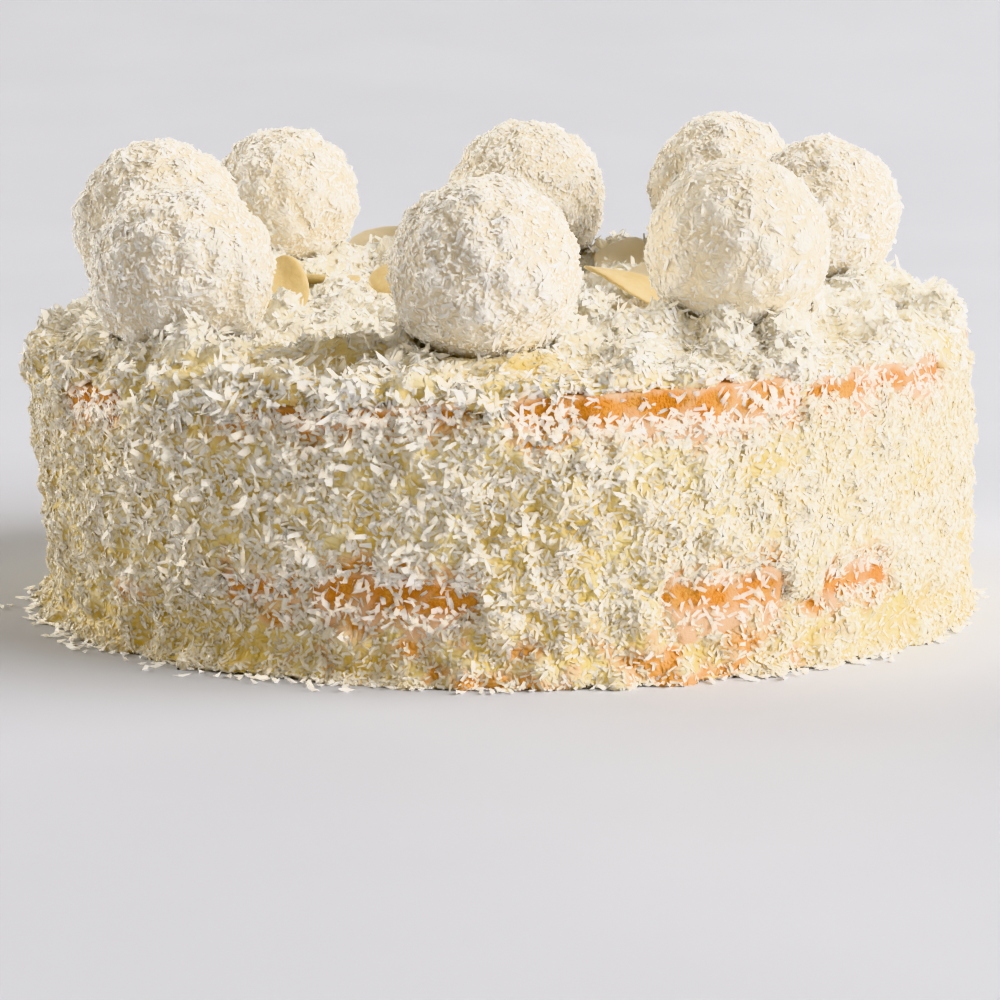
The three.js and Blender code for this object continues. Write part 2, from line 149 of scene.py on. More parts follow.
def set_values(mesh, name, values):
    layer = mesh.attributes.get(name) or mesh.attributes.new(name, "FLOAT", "POINT")
    layer.data.foreach_set("value", np.asarray(values, dtype=np.float32))


def corners_of(mesh):
    places = np.empty(len(mesh.vertices) * 3)
    mesh.vertices.foreach_get("co", places)
    return places.reshape(-1, 3) / MM


def uneven(places, size, seed):
    """Uneven value from 0 to 1 at each place, with patches of a size in millimetres."""
    shift = Vector((seed, 2 * seed, 0))
    return np.array([0.5 + 0.5 * noise.noise(Vector(place) / size + shift) for place in places])


def add_piece(name, mesh):
    piece = bpy.data.objects.new(name, mesh)
    bpy.context.scene.collection.objects.link(piece)
    return piece


def new_node(tree, kind, inputs=(), **settings):
    """Adds a node, sets its properties and feeds its inputs with values or with other sockets."""
    node = tree.nodes.new(kind)
    for key, value in settings.items():
        setattr(node, key, value)
    for key, value in dict(inputs).items():
        if isinstance(value, bpy.types.NodeSocket):
            tree.links.new(value, node.inputs[key])
        else:
            node.inputs[key].default_value = value
    return node


def math_node(tree, operation, first, second=0.0, third=0.0):
    node = new_node(tree, "ShaderNodeMath", {0: first, 1: second, 2: third}, operation=operation)
    return node.outputs[0]


def ranged(tree, value, low, high, start=0.0, end=1.0):
    node = new_node(tree, "ShaderNodeMapRange", {"Value": value, "From Min": low, "From Max": high,
                                                 "To Min": start, "To Max": end})
    node.interpolation_type = "SMOOTHSTEP"
    return node.outputs[0]


def new_tree(name, sockets):
    """Geometry tree with a mesh in and out and named inputs of (name, socket type)."""
    tree = bpy.data.node_groups.new(name, "GeometryNodeTree")
    tree.interface.new_socket("Geometry", in_out="INPUT", socket_type="NodeSocketGeometry")
    tree.interface.new_socket("Geometry", in_out="OUTPUT", socket_type="NodeSocketGeometry")
    for socket, kind in sockets:
        tree.interface.new_socket(socket, in_out="INPUT", socket_type=kind)
    return tree, new_node(tree, "NodeGroupInput").outputs, new_node(tree, "NodeGroupOutput").inputs


def relief_tree():
    """Pushes a surface in and out by broad lumps and fine grain, and keeps how high each place is, for
    painted light on the lumps and painted shade in the hollows.
    """
    names = ("Lump Height", "Lump Size", "Grain Height", "Grain Size")
    tree, given, result = new_tree("food_relief", [(name, "NodeSocketFloat") for name in names])
    place = new_node(tree, "GeometryNodeInputPosition").outputs[0]
    normal = new_node(tree, "GeometryNodeInputNormal").outputs[0]
    share = new_node(tree, "GeometryNodeInputNamedAttribute", {"Name": "relief"}, data_type="FLOAT")

    scale = math_node(tree, "DIVIDE", 1.0, given["Lump Size"])
    cells = new_node(tree, "ShaderNodeTexVoronoi", {"Vector": place, "Scale": scale, "Smoothness": 0.4},
                     feature="SMOOTH_F1")
    lumps = ranged(tree, cells.outputs["Distance"], 0.05, 0.75, 1.0, -1.0)
    scale = math_node(tree, "DIVIDE", 1.0, given["Grain Size"])
    field = new_node(tree, "ShaderNodeTexNoise", {"Vector": place, "Scale": scale, "Detail": 2.0})
    grain = ranged(tree, field.outputs[0], 0.25, 0.75, -1.0, 1.0)
    height = math_node(tree, "MULTIPLY", lumps, given["Lump Height"])
    height = math_node(tree, "MULTIPLY_ADD", grain, given["Grain Height"], height)
    height = math_node(tree, "MULTIPLY", height, share.outputs[0])
    push = new_node(tree, "ShaderNodeVectorMath", {0: normal, "Scale": height}, operation="SCALE")
    most = math_node(tree, "ADD", given["Lump Height"], given["Grain Height"])
    # How high each place is, from 0 in the hollows to 1 on the lumps, kept for the painted shade and light
    raised = ranged(tree, math_node(tree, "DIVIDE", height, most), -0.7, 0.7)
    kept = new_node(tree, "GeometryNodeStoreNamedAttribute",
                    {"Geometry": given["Geometry"], "Name": "raised", "Value": raised},
                    data_type="FLOAT", domain="POINT")
    moved = new_node(tree, "GeometryNodeSetPosition",
                     {"Geometry": kept.outputs[0], "Offset": push.outputs[0]})
    tree.links.new(moved.outputs[0], result[0])
    return tree


def relief_sizes(lump_height, lump_size, grain_height, grain_size):
    """Inputs of the relief tree, from sizes in millimetres."""
    return {"Lump Height": lump_height * MM, "Lump Size": lump_size * MM,
            "Grain Height": grain_height * MM, "Grain Size": grain_size * MM}


def run_tree(piece, tree, values):
    """Makes the tree's result the piece's own plain mesh."""
    modifier = piece.modifiers.new(tree.name, "NODES")
    modifier.node_group = tree
    for socket in tree.interface.items_tree:
        if socket.in_out == "INPUT" and socket.name in values:
            modifier[socket.identifier] = values[socket.name]
    graph = bpy.context.evaluated_depsgraph_get()
    result = bpy.data.meshes.new_from_object(
        piece.evaluated_get(graph), preserve_all_data_layers=True, depsgraph=graph)
    piece.modifiers.clear()
    piece.data = result


def paint(red, green, blue):
    """Colour as it is seen on a screen, turned to the light values that a shader takes."""
    return tuple(c / 12.92 if c < 0.04045 else ((c + 0.055) / 1.055) ** 2.4
                 for c in (red / 255, green / 255, blue / 255)) + (1.0,)


def new_group(name, sizes, values):
    """Shader group with named sizes in and values out, which starts from the place on the cake."""
    group = bpy.data.node_groups.new(name, "ShaderNodeTree")
    for socket in sizes:
        group.interface.new_socket(socket, in_out="INPUT", socket_type="NodeSocketFloat")
    for socket in values:
        group.interface.new_socket(socket, in_out="OUTPUT", socket_type="NodeSocketFloat")
    place = new_node(group, "ShaderNodeTexCoord").outputs["Object"]
    given = new_node(group, "NodeGroupInput").outputs
    return group, place, given, new_node(group, "NodeGroupOutput").inputs


def grain_group():
    """Patches and fine grain of a food surface."""
    sizes = ("Patch Size", "Grain Size")
    values = ("Patches", "Grain")
    group, place, given, result = new_group("food_grain", sizes, values)
    for source, target in zip(sizes, values):
        scale = math_node(group, "DIVIDE", 1.0, given[source])
        field = new_node(group, "ShaderNodeTexNoise", {"Vector": place, "Scale": scale, "Detail": 4.0})
        group.links.new(ranged(group, field.outputs[0], 0.3, 0.7), result[target])
    return group


food_relief = relief_tree()
food_grain = grain_group()


def new_material(name, roughness):
    """Principled material with its node tree and its shader."""
    material = bpy.data.materials.new(name)
    material.use_nodes = True
    shader = material.node_tree.nodes["Principled BSDF"]
    shader.inputs["Roughness"].default_value = roughness
    shader.inputs["Specular IOR Level"].default_value = 0.3
    return material, material.node_tree, shader


def use_group(tree, group, *sizes):
    """Puts a group in a material, with its sizes in millimetres, and gives its two values."""
    node = new_node(tree, "ShaderNodeGroup", node_tree=group)
    for socket, size in zip(node.inputs, sizes):
        socket.default_value = size * MM
    return node.outputs[0], node.outputs[1]


def mesh_value(tree, name):
    """Value that the mesh itself carries at each place."""
    return new_node(tree, "ShaderNodeAttribute", attribute_name=name).outputs["Fac"]


def mixed(tree, share, first, second):
    node = new_node(tree, "ShaderNodeMix", {"Factor": share, 6: first, 7: second}, data_type="RGBA")
    return node.outputs[2]


def roughen(tree, shader, height, strength, depth):
    bump = new_node(tree, "ShaderNodeBump",
                    {"Height": height, "Strength": strength, "Distance": depth * MM})
    tree.links.new(bump.outputs[0], shader.inputs["Normal"])


def sponge_material():
    """Browned crumb: orange, with painted shade darkening its holes, and paler where cream was smeared over
    it.
    """
    material, tree, shader = new_material("browned_sponge", 0.8)
    patches, grain = use_group(tree, food_grain, 4.0, 0.7)
    place = new_node(tree, "ShaderNodeTexCoord").outputs["Object"]
    holes = new_node(tree, "ShaderNodeTexNoise", {"Vector": place, "Scale": 1 / (0.4 * MM), "Detail": 2.0})
    crumb = ranged(tree, holes.outputs[0], 0.3, 0.65)
    colour = mixed(tree, patches, paint(236, 158, 66), paint(248, 190, 108))
    colour = mixed(tree, math_node(tree, "MULTIPLY", grain, 0.4), colour, paint(214, 130, 46))
    # Painted shade: the holes of the crumb are darkened, as little light reaches into them
    colour = mixed(tree, ranged(tree, crumb, 0.0, 1.0, 0.35, 0.0), colour, paint(190, 106, 32))
    smear = mesh_value(tree, "smear")
    colour = mixed(tree, ranged(tree, smear, 0.05, 0.6), colour, paint(250, 208, 166))
    colour = mixed(tree, ranged(tree, smear, 0.6, 1.0), colour, paint(253, 238, 206))
    tree.links.new(colour, shader.inputs["Base Color"])
    height = math_node(tree, "MULTIPLY_ADD", grain, 0.5, crumb)
    height = math_node(tree, "MULTIPLY", height, math_node(tree, "SUBTRACT", 1.0, smear))
    roughen(tree, shader, height, 0.5, 0.25)
    return material


browned_sponge = sponge_material()
SPONGE_RELIEF = relief_sizes(0.4, 5, 0.2, 1.6)


def add_sponge(name, node, rings, bare_middle, bare):
    """Round of sponge, smeared with dabs of cream towards the edges of its bare patches."""
    mesh = turned_mesh(name, rings)
    relief = np.zeros(len(mesh.vertices))
    relief[2 * STEPS:SPONGE_SIDE_RINGS * STEPS] = 1
    set_values(mesh, "relief", relief)
    places = corners_of(mesh)
    column = np.arange(len(places)) % STEPS
    off_middle = 2 * np.abs(places[:, 2] - bare_middle[column]) / np.maximum(bare[column], 0.5)
    window = smooth(0.5, 2, bare[column]) * (1 - smooth(1.2, 1.7, off_middle))
    edge = smooth(0.2, 1.1, off_middle + 0.8 * uneven(places, 4, 8.8) - 0.4)
    smear = smooth(0.52, 0.72, uneven(places, 3.5, 4.4)) * between(0.3, 1.0, edge)
    smear = np.maximum(smear, 0.55 * edge)
    set_values(mesh, "window", window * relief)
    set_values(mesh, "edge", edge)
    set_values(mesh, "smear", smear)
    around = np.hypot(places[:, 0], places[:, 1])
    dabs = 1 + np.where(relief > 0, DAB_THICKNESS * smear / np.maximum(around, 1), 0)
    places[:, :2] *= dabs[:, None]
    mesh.vertices.foreach_set("co", (places * MM).ravel())
    piece = add_piece(name, mesh)
    run_tree(piece, food_relief, SPONGE_RELIEF)
    piece.data.materials.append(browned_sponge)
    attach(piece, "root")
    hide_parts(node)
    return piece


def sponge_side(floor, top, bare_middle, bare):
    """Rings up the side, which swells a little where no coat holds it."""
    rings = []
    for share in np.linspace(0.05, 0.95, SPONGE_SIDE_RINGS):
        height = between(floor, top, share)
        inside = 1 - smooth(1.0, 1.6, np.abs(height - bare_middle) / np.maximum(bare, 0.5))
        rings.append((sponge_radius(height) + SPONGE_SWELL * inside * smooth(0, 3, bare), height))
    return rings


lower_bare = open_height(LOWER_PATCHES)
lower_middle = LOWER_PATCH_MIDDLE + LOWER_PATCH_RISE * np.sin(angles)
lower_rings = [(sponge_radius(0) - SPONGE_EDGE, 0)]
lower_rings += sponge_side(0, LOWER_TOP, lower_middle, lower_bare)
lower_rings += [(sponge_radius(LOWER_TOP) - SPONGE_EDGE, LOWER_TOP)]
sponge_lower = add_sponge("sponge_lower_round", "sponge_lower", lower_rings, lower_middle, lower_bare)


# Foot cream
# The coat round the foot of the lower sponge: buttercream with coconut pressed into it, ending in a
# low skirt of coconut that fell from the side while it was coated.
GAP = 0.3
LIP_TUCK = 0.3
SHRED_STAND = 0.6
FOOT_HEIGHT = 4.5
FOOT_HOLLOW = 1.6
FOOT_SPREAD_LEFT = 3.4
FOOT_SPREAD_RIGHT = 1.2
LIP_THICKNESS = 1.5
LIP_REACH = 5.0
LIP_OVERLAP = 0.9
LIP_ROUNDING = 1.2
LIP_WANDER_BROAD = 2.6
LIP_WANDER_FINE = 2.0
SWELL_BROAD = 0.3
SWELL_FINE = 0.25
PLAIN_PLACES = [(-25, -58, 9.0), (3, -74, 7.0), (24, 66, 9.0)]
CREAM_SMEARS = [(4, 46.8, 8.5, 2.2), (-39, 45.0, 6.0, 2.0), (30, 32.0, 5.0, 2.2), (66, 46.5, 4.0, 3.0),
                (51, 7.0, 5.0, 3.0), (57, 27.0, 4.0, 3.0), (75, 15.0, 5.0, 4.0)]
SCRAPED_SPOTS = [(-10, 5.5, 3.2, 2.0), (-26, 9.0, 4.0, 1.6), (15, 3.6, 3.6, 2.0), (28, 5.5, 4.2, 2.6),
                 (38, 9.5, 4.0, 1.8), (-48, 10.0, 5.0, 1.6)]
TOP_START = 43
TOP_FULL = 48
SOAKED_FOOT = (5, 14)
FOOT_RINGS = 16
FOOT_RELIEF = relief_sizes(1.1, 6, 0.5, 1.8)


def ragged(size, seed):
    """Uneven value from -1 to 1 at each angle of the side, with bumps of a size in millimetres."""
    places = np.stack([np.sin(angles), np.cos(angles), 0 * angles], axis=-1) * COAT_RADIUS
    return 2 * uneven(places, size, seed) - 1


def open_half(bare):
    """Half the gap between two lips, less than it looks as their thin edges run into the sponge."""
    return bare / 2 - LIP_OVERLAP * smooth(0, 3, bare)


def lip_wander(bare, seed):
    """How far a lip strays up or down: more at bare patches, where the coat was scraped."""
    reach = between(0.5, 1.0, smooth(0, 3, bare))
    return reach * (LIP_WANDER_BROAD * ragged(5, seed) + LIP_WANDER_FINE * ragged(1.9, seed + 4.4))


def coat_depth(distance, bare):
    """Thickness of the coat at a distance from its lip, thin at bare patches."""
    full = COAT_THICKNESS - SHRED_STAND
    lip = between(full, LIP_THICKNESS, smooth(0, 2, bare))
    depth = between(lip, full, smooth(0, LIP_REACH, distance))
    rounded = np.sqrt(np.clip((distance + 0.15) / LIP_ROUNDING, 0, 1))
    return depth * between(1, between(0.65, 1, rounded), smooth(0.3, 1.5, bare))


def thinness(distance, bare):
    """1 where the coat is so thin that the sponge shows through it, 0 where it is full."""
    return smooth(0, 3, bare) * (1 - smooth(0, 1.2 * LIP_REACH, distance))


def angle_of(places):
    return np.degrees(np.arctan2(places[:, 0], -places[:, 1]))


def near_spots(places, spots):
    """1 at spots of the side, given as (angle, height, half width, half height), and at their like
    behind, fading to 0 round them."""
    turn = angle_of(places)
    most = np.zeros(len(places))
    for angle, height, wide, tall in spots + [(BACK_TURN - spot[0], *spot[1:]) for spot in spots]:
        aside = (turn - angle + 180) % 360 - 180
        across = np.radians(aside) * COAT_RADIUS / wide
        upward = (places[:, 2] - height) / tall
        most = np.maximum(most, np.exp(-across ** 2 - upward ** 2))
    return most


def plain_cream(places):
    """1 at places of the top, given as (x, y, reach), where the knife left little coconut in the cream."""
    most = np.zeros(len(places))
    for x, y, reach in PLAIN_PLACES:
        away = (places[:, 0] - x) ** 2 + (places[:, 1] - y) ** 2
        most = np.maximum(most, np.exp(-away / reach ** 2))
    return most * smooth(TOP_START, TOP_FULL, places[:, 2])


def swell(height):
    """Slow waves in the coat, from the strokes of the knife round the side."""
    broad = SWELL_BROAD * np.sin(7 * angles + 0.21 * height)
    return broad + SWELL_FINE * np.sin(11 * angles - 0.33 * height + 1.3)


foot_lip = lower_middle - open_half(lower_bare) + lip_wander(lower_bare, 1.7)
to_right = (1 + np.sin(angles)) / 2
foot_spread = between(FOOT_SPREAD_LEFT, FOOT_SPREAD_RIGHT, to_right)
foot_spread = foot_spread * (0.9 + 0.4 * ragged(12, 2.2) + 0.5 * ragged(3, 5.5))


def foot_rings():
    rings = [(sponge_radius(0) + GAP, 0)]
    rings += [(sponge_radius(0) + COAT_THICKNESS - SHRED_STAND + foot_spread, 0)]
    for share in np.linspace(0.05, 1, FOOT_RINGS):
        height = foot_lip * share
        flare = foot_spread * np.clip(1 - height / FOOT_HEIGHT, 0, 1) ** FOOT_HOLLOW
        depth = coat_depth(foot_lip - height, lower_bare)
        rings.append((sponge_radius(height) + GAP + depth + flare + swell(height), height))
    return rings + [(sponge_radius(foot_lip) - LIP_TUCK, foot_lip)]


def mat_group():
    """Slivers lying matted in cream: a tone for each sliver and a height to roughen the surface with."""
    group, place, given, result = new_group("coconut_mat", ("Length", "Width"), ("Tone", "Height"))
    scale = math_node(group, "DIVIDE", 1.0, given["Length"])
    swirl = new_node(group, "ShaderNodeTexNoise", {"Vector": place, "Scale": scale, "Detail": 1.0})
    swirl = new_node(group, "ShaderNodeVectorMath", {0: swirl.outputs["Color"], 1: (0.5, 0.5, 0.5)},
                     operation="SUBTRACT")
    swirl = new_node(group, "ShaderNodeVectorMath", {0: swirl.outputs[0], "Scale": given["Length"]},
                     operation="SCALE")
    swirled = new_node(group, "ShaderNodeVectorMath", {0: place, 1: swirl.outputs[0]}, operation="ADD")
    across = math_node(group, "DIVIDE", 1.0, given["Width"])
    layers = []
    for sides in ((across, across, scale), (scale, scale, across)):
        stretch = new_node(group, "ShaderNodeCombineXYZ", dict(enumerate(sides)))
        stretched = new_node(group, "ShaderNodeVectorMath", {0: swirled.outputs[0], 1: stretch.outputs[0]},
                             operation="MULTIPLY")
        cells = new_node(group, "ShaderNodeTexVoronoi", {"Vector": stretched.outputs[0], "Scale": 1.0})
        top = ranged(group, cells.outputs["Distance"], 0.2, 0.75, 1.0, 0.0)
        tone = new_node(group, "ShaderNodeSeparateColor", {0: cells.outputs["Color"]})
        layers.append((top, tone.outputs[0]))
    (first_top, first_tone), (second_top, second_tone) = layers
    group.links.new(math_node(group, "MAXIMUM", first_top, second_top), result["Height"])
    tones = math_node(group, "MAXIMUM", math_node(group, "MULTIPLY", first_top, first_tone),
                      math_node(group, "MULTIPLY", second_top, second_tone))
    group.links.new(tones, result["Tone"])
    return group


coconut_mat = mat_group()


def cream_material():
    """Pale yellow buttercream, whiter where coconut is mixed into it, with painted light on its lumps,
    painted shade in its hollows and painted light on the right of the side.
    """
    material, tree, shader = new_material("butter_cream", 0.55)
    patches, grain = use_group(tree, food_grain, 9.0, 1.2)
    tone, height = use_group(tree, coconut_mat, 2.6, 0.9)
    raised = mesh_value(tree, "raised")
    colour = mixed(tree, patches, paint(241, 206, 104), paint(250, 228, 150))
    thin = mesh_value(tree, "thin")
    blended_and_lit = mesh_value(tree, "blended_and_lit")
    # Painted light and shade: whiter on the lumps and yellower in the hollows, as light falls on them
    white = math_node(tree, "MULTIPLY", ranged(tree, raised, 0.35, 0.9), 0.4)
    white = math_node(tree, "MULTIPLY_ADD", tone, 0.6, white)
    # The blended value whitens it where coconut is mixed in, and with painted light on the right of the
    # side
    white = math_node(tree, "MINIMUM", math_node(tree, "ADD", white, blended_and_lit), 1.0)
    colour = mixed(tree, white, colour, paint(254, 247, 228))
    worn = math_node(tree, "MULTIPLY_ADD", math_node(tree, "SUBTRACT", grain, 0.5), 0.3, thin)
    colour = mixed(tree, ranged(tree, worn, 0.1, 0.55, 0.0, 0.9), colour, paint(248, 208, 160))
    colour = mixed(tree, ranged(tree, worn, 0.55, 0.85, 0.0, 0.9), colour, paint(238, 168, 82))
    tree.links.new(colour, shader.inputs["Base Color"])
    roughen(tree, shader, height, 0.7, 0.4)
    return material


butter_cream = cream_material()


def add_cream(name, node, rings, relief_rings, lips, sizes, closing="axis", seats=(), bared=1.0):
    """Coat of cream: rough outside, thin at its lips, smooth where smeared and under the pralines."""
    mesh = turned_mesh(name, rings, closing)
    relief = np.zeros(len(mesh.vertices))
    relief[relief_rings[0] * STEPS:relief_rings[1] * STEPS] = 1
    thin = np.zeros(len(mesh.vertices))
    meeting = np.zeros(len(mesh.vertices))
    for number, (_, height) in enumerate(rings):
        ring = slice(number * STEPS, (number + 1) * STEPS)
        for lip, bare in lips:
            thin[ring] = np.maximum(thin[ring], thinness(np.abs(height - lip), bare))
            meeting[ring] = np.maximum(meeting[ring], 1 - smooth(0.5, 3, np.abs(height - lip)))
    places = corners_of(mesh)
    set_values(mesh, "coated", relief)
    set_values(mesh, "edge", thin)
    smeared = np.maximum(near_spots(places, CREAM_SMEARS), 0.8 * plain_cream(places))
    aside = places[:, 0] / COAT_RADIUS
    above_base = places[:, 2]
    # Painted light: the cream of the side is whitened towards the right, where the window light falls, and
    # less near the foot, where cream soaked the coconut
    side_blend_and_light = between(0.05, 0.55, smooth(0.1, 0.9, aside))
    side_blend_and_light = side_blend_and_light * between(0.3, 1.0, smooth(*SOAKED_FOOT, above_base))
    top_blend = 0.7 * smooth(TOP_START, TOP_FULL, above_base)
    set_values(mesh, "blended_and_lit", np.maximum(side_blend_and_light, top_blend) * (1 - smeared))
    relief = relief * (1 - 0.8 * np.maximum(thin, meeting)) * (1 - 0.6 * smeared)
    for middle, radius in seats:
        away = np.hypot(places[:, 0] - middle[0], places[:, 1] - middle[1])
        relief = relief * smooth(0.5, 0.75, away / radius)
    set_values(mesh, "relief", relief)
    thin = bared * thin * between(0.25, 1.5, uneven(places, 5, 6.2))
    crumbs = smooth(0.48, 0.68, uneven(places, 4, 3.1)) * (1 - smooth(4, 12, above_base))
    near_front = smooth(-0.6, -0.1, aside) * (1 - smooth(0.5, 0.75, aside))
    thin = np.maximum(thin, 0.85 * crumbs * near_front)
    set_values(mesh, "thin", np.maximum(thin, near_spots(places, SCRAPED_SPOTS)))
    piece = add_piece(name, mesh)
    run_tree(piece, food_relief, sizes)
    piece.data.materials.append(butter_cream)
    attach(piece, "root")
    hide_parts(node)
    return piece


cream_foot = add_cream("cream_foot_coat", "cream_foot", foot_rings(), (1, FOOT_RINGS + 2),
                       [(foot_lip, lower_bare)], FOOT_RELIEF, "ring")


# Filling cream
# The thick layer of buttercream between the sponges. It was spread out past their edges and up and
# down their sides, so it is also the coat of the middle of the side.
LIP_LAP = 1.4
UPPER_FLOOR = 29.3
UPPER_FLOOR_RISE_RIGHT = 0.015
UPPER_FLOOR_RISE_BACK = 0.012
UPPER_PATCHES = [(18, 20, 6.2), (50, 16, 4.4), (-18, 20, 2.2), (-55, 8, 4.4), (94, 13, 3.0)]
UPPER_PATCH_MIDDLE = 40.6
UPPER_PATCH_RISE = 2.2
FILLING_RINGS = 30
FILLING_RELIEF = relief_sizes(0.7, 5, 0.4, 1.8)


def upper_lip(middle, bare, lower_lip, seed):
    """Height of the edge of the coat above a bare patch, which laps over the one below elsewhere."""
    lapped = lower_lip - LIP_LAP
    free = np.maximum(middle + open_half(bare) + lip_wander(bare, seed), lapped)
    return between(lapped, free, smooth(0.2, 1.2, bare))


filling_foot = upper_lip(lower_middle, lower_bare, foot_lip, 9.3)
upper_bare = open_height(UPPER_PATCHES)
upper_middle = UPPER_PATCH_MIDDLE + UPPER_PATCH_RISE * np.sin(angles)
filling_lip = upper_middle - open_half(upper_bare) + lip_wander(upper_bare, 12.4)


def upper_floor(radius):
    right = UPPER_FLOOR_RISE_RIGHT * radius * np.sin(angles)
    back = -UPPER_FLOOR_RISE_BACK * radius * np.cos(angles)
    return UPPER_FLOOR + right + back


def filling_rings():
    floor = LOWER_TOP + GAP
    rings = [(sponge_radius(floor) + GAP, floor), (sponge_radius(filling_foot) - LIP_TUCK, filling_foot)]
    for share in np.linspace(0, 1, FILLING_RINGS):
        height = between(filling_foot, filling_lip, share)
        lower = coat_depth(height - filling_foot, lower_bare)
        upper = coat_depth(filling_lip - height, upper_bare)
        rings.append((sponge_radius(height) + GAP + np.minimum(lower, upper) + swell(height), height))
    top = upper_floor(sponge_radius(UPPER_FLOOR)) - GAP
    return rings + [(sponge_radius(filling_lip) - LIP_TUCK, filling_lip), (sponge_radius(top) + GAP, top)]


cream_filling = add_cream("cream_filling_coat", "cream_filling", filling_rings(), (2, FILLING_RINGS + 2),
                          [(filling_foot, lower_bare), (filling_lip, upper_bare)], FILLING_RELIEF)


# Upper sponge
# The second round of sponge, laid on the filling. It stands higher at the back and on the right,
# and its browned rim rises a little at the front right.
UPPER_TOP = 44.2
UPPER_TOP_RISE_RIGHT = 0.035
UPPER_TOP_RISE_BACK = 0.03
CRUST_ANGLE = 20
CRUST_HALF = 42
CRUST_RISE = 1.4
CRUST_INNER = 62
CRUST_OUTER = 72
CRUST_RINGS = (CRUST_OUTER, 67, CRUST_INNER)


def upper_top(radius):
    plane = UPPER_TOP + UPPER_TOP_RISE_RIGHT * radius * np.sin(angles)
    plane = plane - UPPER_TOP_RISE_BACK * radius * np.cos(angles)
    crust = 1 - smooth(0.45, 1, turn_away(CRUST_ANGLE) / math.radians(CRUST_HALF))
    return plane + CRUST_RISE * crust * smooth(CRUST_INNER, CRUST_OUTER, radius)


upper_edge = sponge_radius(UPPER_FLOOR) - SPONGE_EDGE
upper_rim = sponge_radius(UPPER_TOP) - SPONGE_EDGE
upper_rings = [(upper_edge, upper_floor(upper_edge))]
upper_rings += sponge_side(upper_floor(upper_edge), upper_top(upper_rim), upper_middle, upper_bare)
upper_rings += [(upper_rim, upper_top(upper_rim))]
upper_rings += [(radius, upper_top(radius)) for radius in CRUST_RINGS]
sponge_upper = add_sponge("sponge_upper_round", "sponge_upper", upper_rings, upper_middle, upper_bare)


# Top cream
# The cream over the upper sponge, spread with a knife and pushed up round the pralines that sit in
# it. Its edge hangs over the sponge unevenly and its shoulder is rounder on the left.
CREAM_TOP = 48.8
CREAM_TOP_RISE_RIGHT = 0.03
CREAM_TOP_RISE_BACK = 0.035
CREAM_DOME = 2.0
CREAM_DOME_RADIUS = 30
CREAM_WAVES = [(0.35, 0.21, 0.13, 0), (0.3, 0.17, -0.29, 2)]
SHOULDER_LEFT = 5.2
SHOULDER_RIGHT = 3.6
LEAST_WALL = 0.9
PRALINE_NODES = [name for name in frame["nodes"] if name.startswith("praline_")]
PRALINE_SINK = 2.2
PRALINE_MOUND = 15.0
PRALINE_HEAP = 3.0
PRALINE_HEAP_PLACE = 0.75
PRALINE_HEAP_REACH = 4.5
SEAT_FILLET = 5.0
SEAT_TOUCH = 0.6
HEAPS = [(19.5, 57, 6.5, 8.0), (57, 66, 4.5, 8.0), (-26, 58, 4.0, 8.0), (-42, 68, 2.5, 7.0),
         (68, 55, 4.0, 7.0), (115, 58, 4.5, 7.5), (155, 58, 5.0, 8.0), (199, 58, 5.0, 8.0),
         (245, 60, 4.0, 7.5), (288, 60, 4.0, 7.0), (-54, 74, -1.5, 7.0), (-72, 38, 4.5, 6.0),
         (-117, 35, 3.0, 7.0), (-2, 71, -3.0, 7.5), (41, 18, 3.0, 5.0), (144, 37, 4.0, 8.0)]
SKIRT_RINGS = 7
SHOULDER_RINGS = 8
TOP_RINGS = 58
TOP_RELIEF = relief_sizes(1.9, 8, 0.8, 2.6)
top_lip = upper_lip(upper_middle, upper_bare, filling_lip, 15.9)


def praline_ball(node):
    """Middle and radius of a praline, in millimetres, inside its coat of shreds."""
    low, high = (np.array(corner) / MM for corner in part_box(node))
    return (low + high) / 2, (high - low).mean() / 2


praline_balls = {node: praline_ball(node) for node in PRALINE_NODES}


def cream_level(x, y):
    """Height of the spread cream: a tilted plane with a low dome and waves, and a mound under each
    praline."""
    plane = CREAM_TOP + CREAM_TOP_RISE_RIGHT * x + CREAM_TOP_RISE_BACK * y
    level = plane + CREAM_DOME * np.exp(-(x * x + y * y) / CREAM_DOME_RADIUS ** 2)
    for tall, along_x, along_y, start in CREAM_WAVES:
        level = level + tall * np.sin(along_x * x + along_y * y + start)
    for middle, radius in praline_balls.values():
        under = CREAM_TOP + CREAM_TOP_RISE_RIGHT * middle[0] + CREAM_TOP_RISE_BACK * middle[1]
        wanted = middle[2] - radius + PRALINE_SINK
        away = ((x - middle[0]) ** 2 + (y - middle[1]) ** 2) / PRALINE_MOUND ** 2
        level = level + (wanted - under) * np.exp(-away)
    return level - SHRED_STAND


def seated_level(x, y):
    """Cream level with its heaps of (angle, distance from the axis, height, reach), pressed down under
    each praline and pushed up round it."""
    level = cream_level(x, y)
    away = [np.hypot(x - middle[0], y - middle[1]) for middle, _ in praline_balls.values()]
    for distance, (_, radius) in zip(away, praline_balls.values()):
        heap = np.exp(-((distance - PRALINE_HEAP_PLACE * radius) / PRALINE_HEAP_REACH) ** 2)
        level = level + PRALINE_HEAP * heap
    for angle, ring, tall, reach in HEAPS:
        turn = math.radians(angle)
        squared = (x - ring * math.sin(turn)) ** 2 + (y + ring * math.cos(turn)) ** 2
        level = level + tall * np.exp(-squared / reach ** 2)
    for distance, (middle, radius) in zip(away, praline_balls.values()):
        bottom = middle[2] - np.sqrt(np.clip(radius ** 2 - distance ** 2, 0, None)) + SEAT_TOUCH
        open_gap = np.maximum(bottom - level, 0)
        level = np.where(distance < radius, bottom - open_gap * smooth(0, SEAT_FILLET, open_gap), level)
    return level


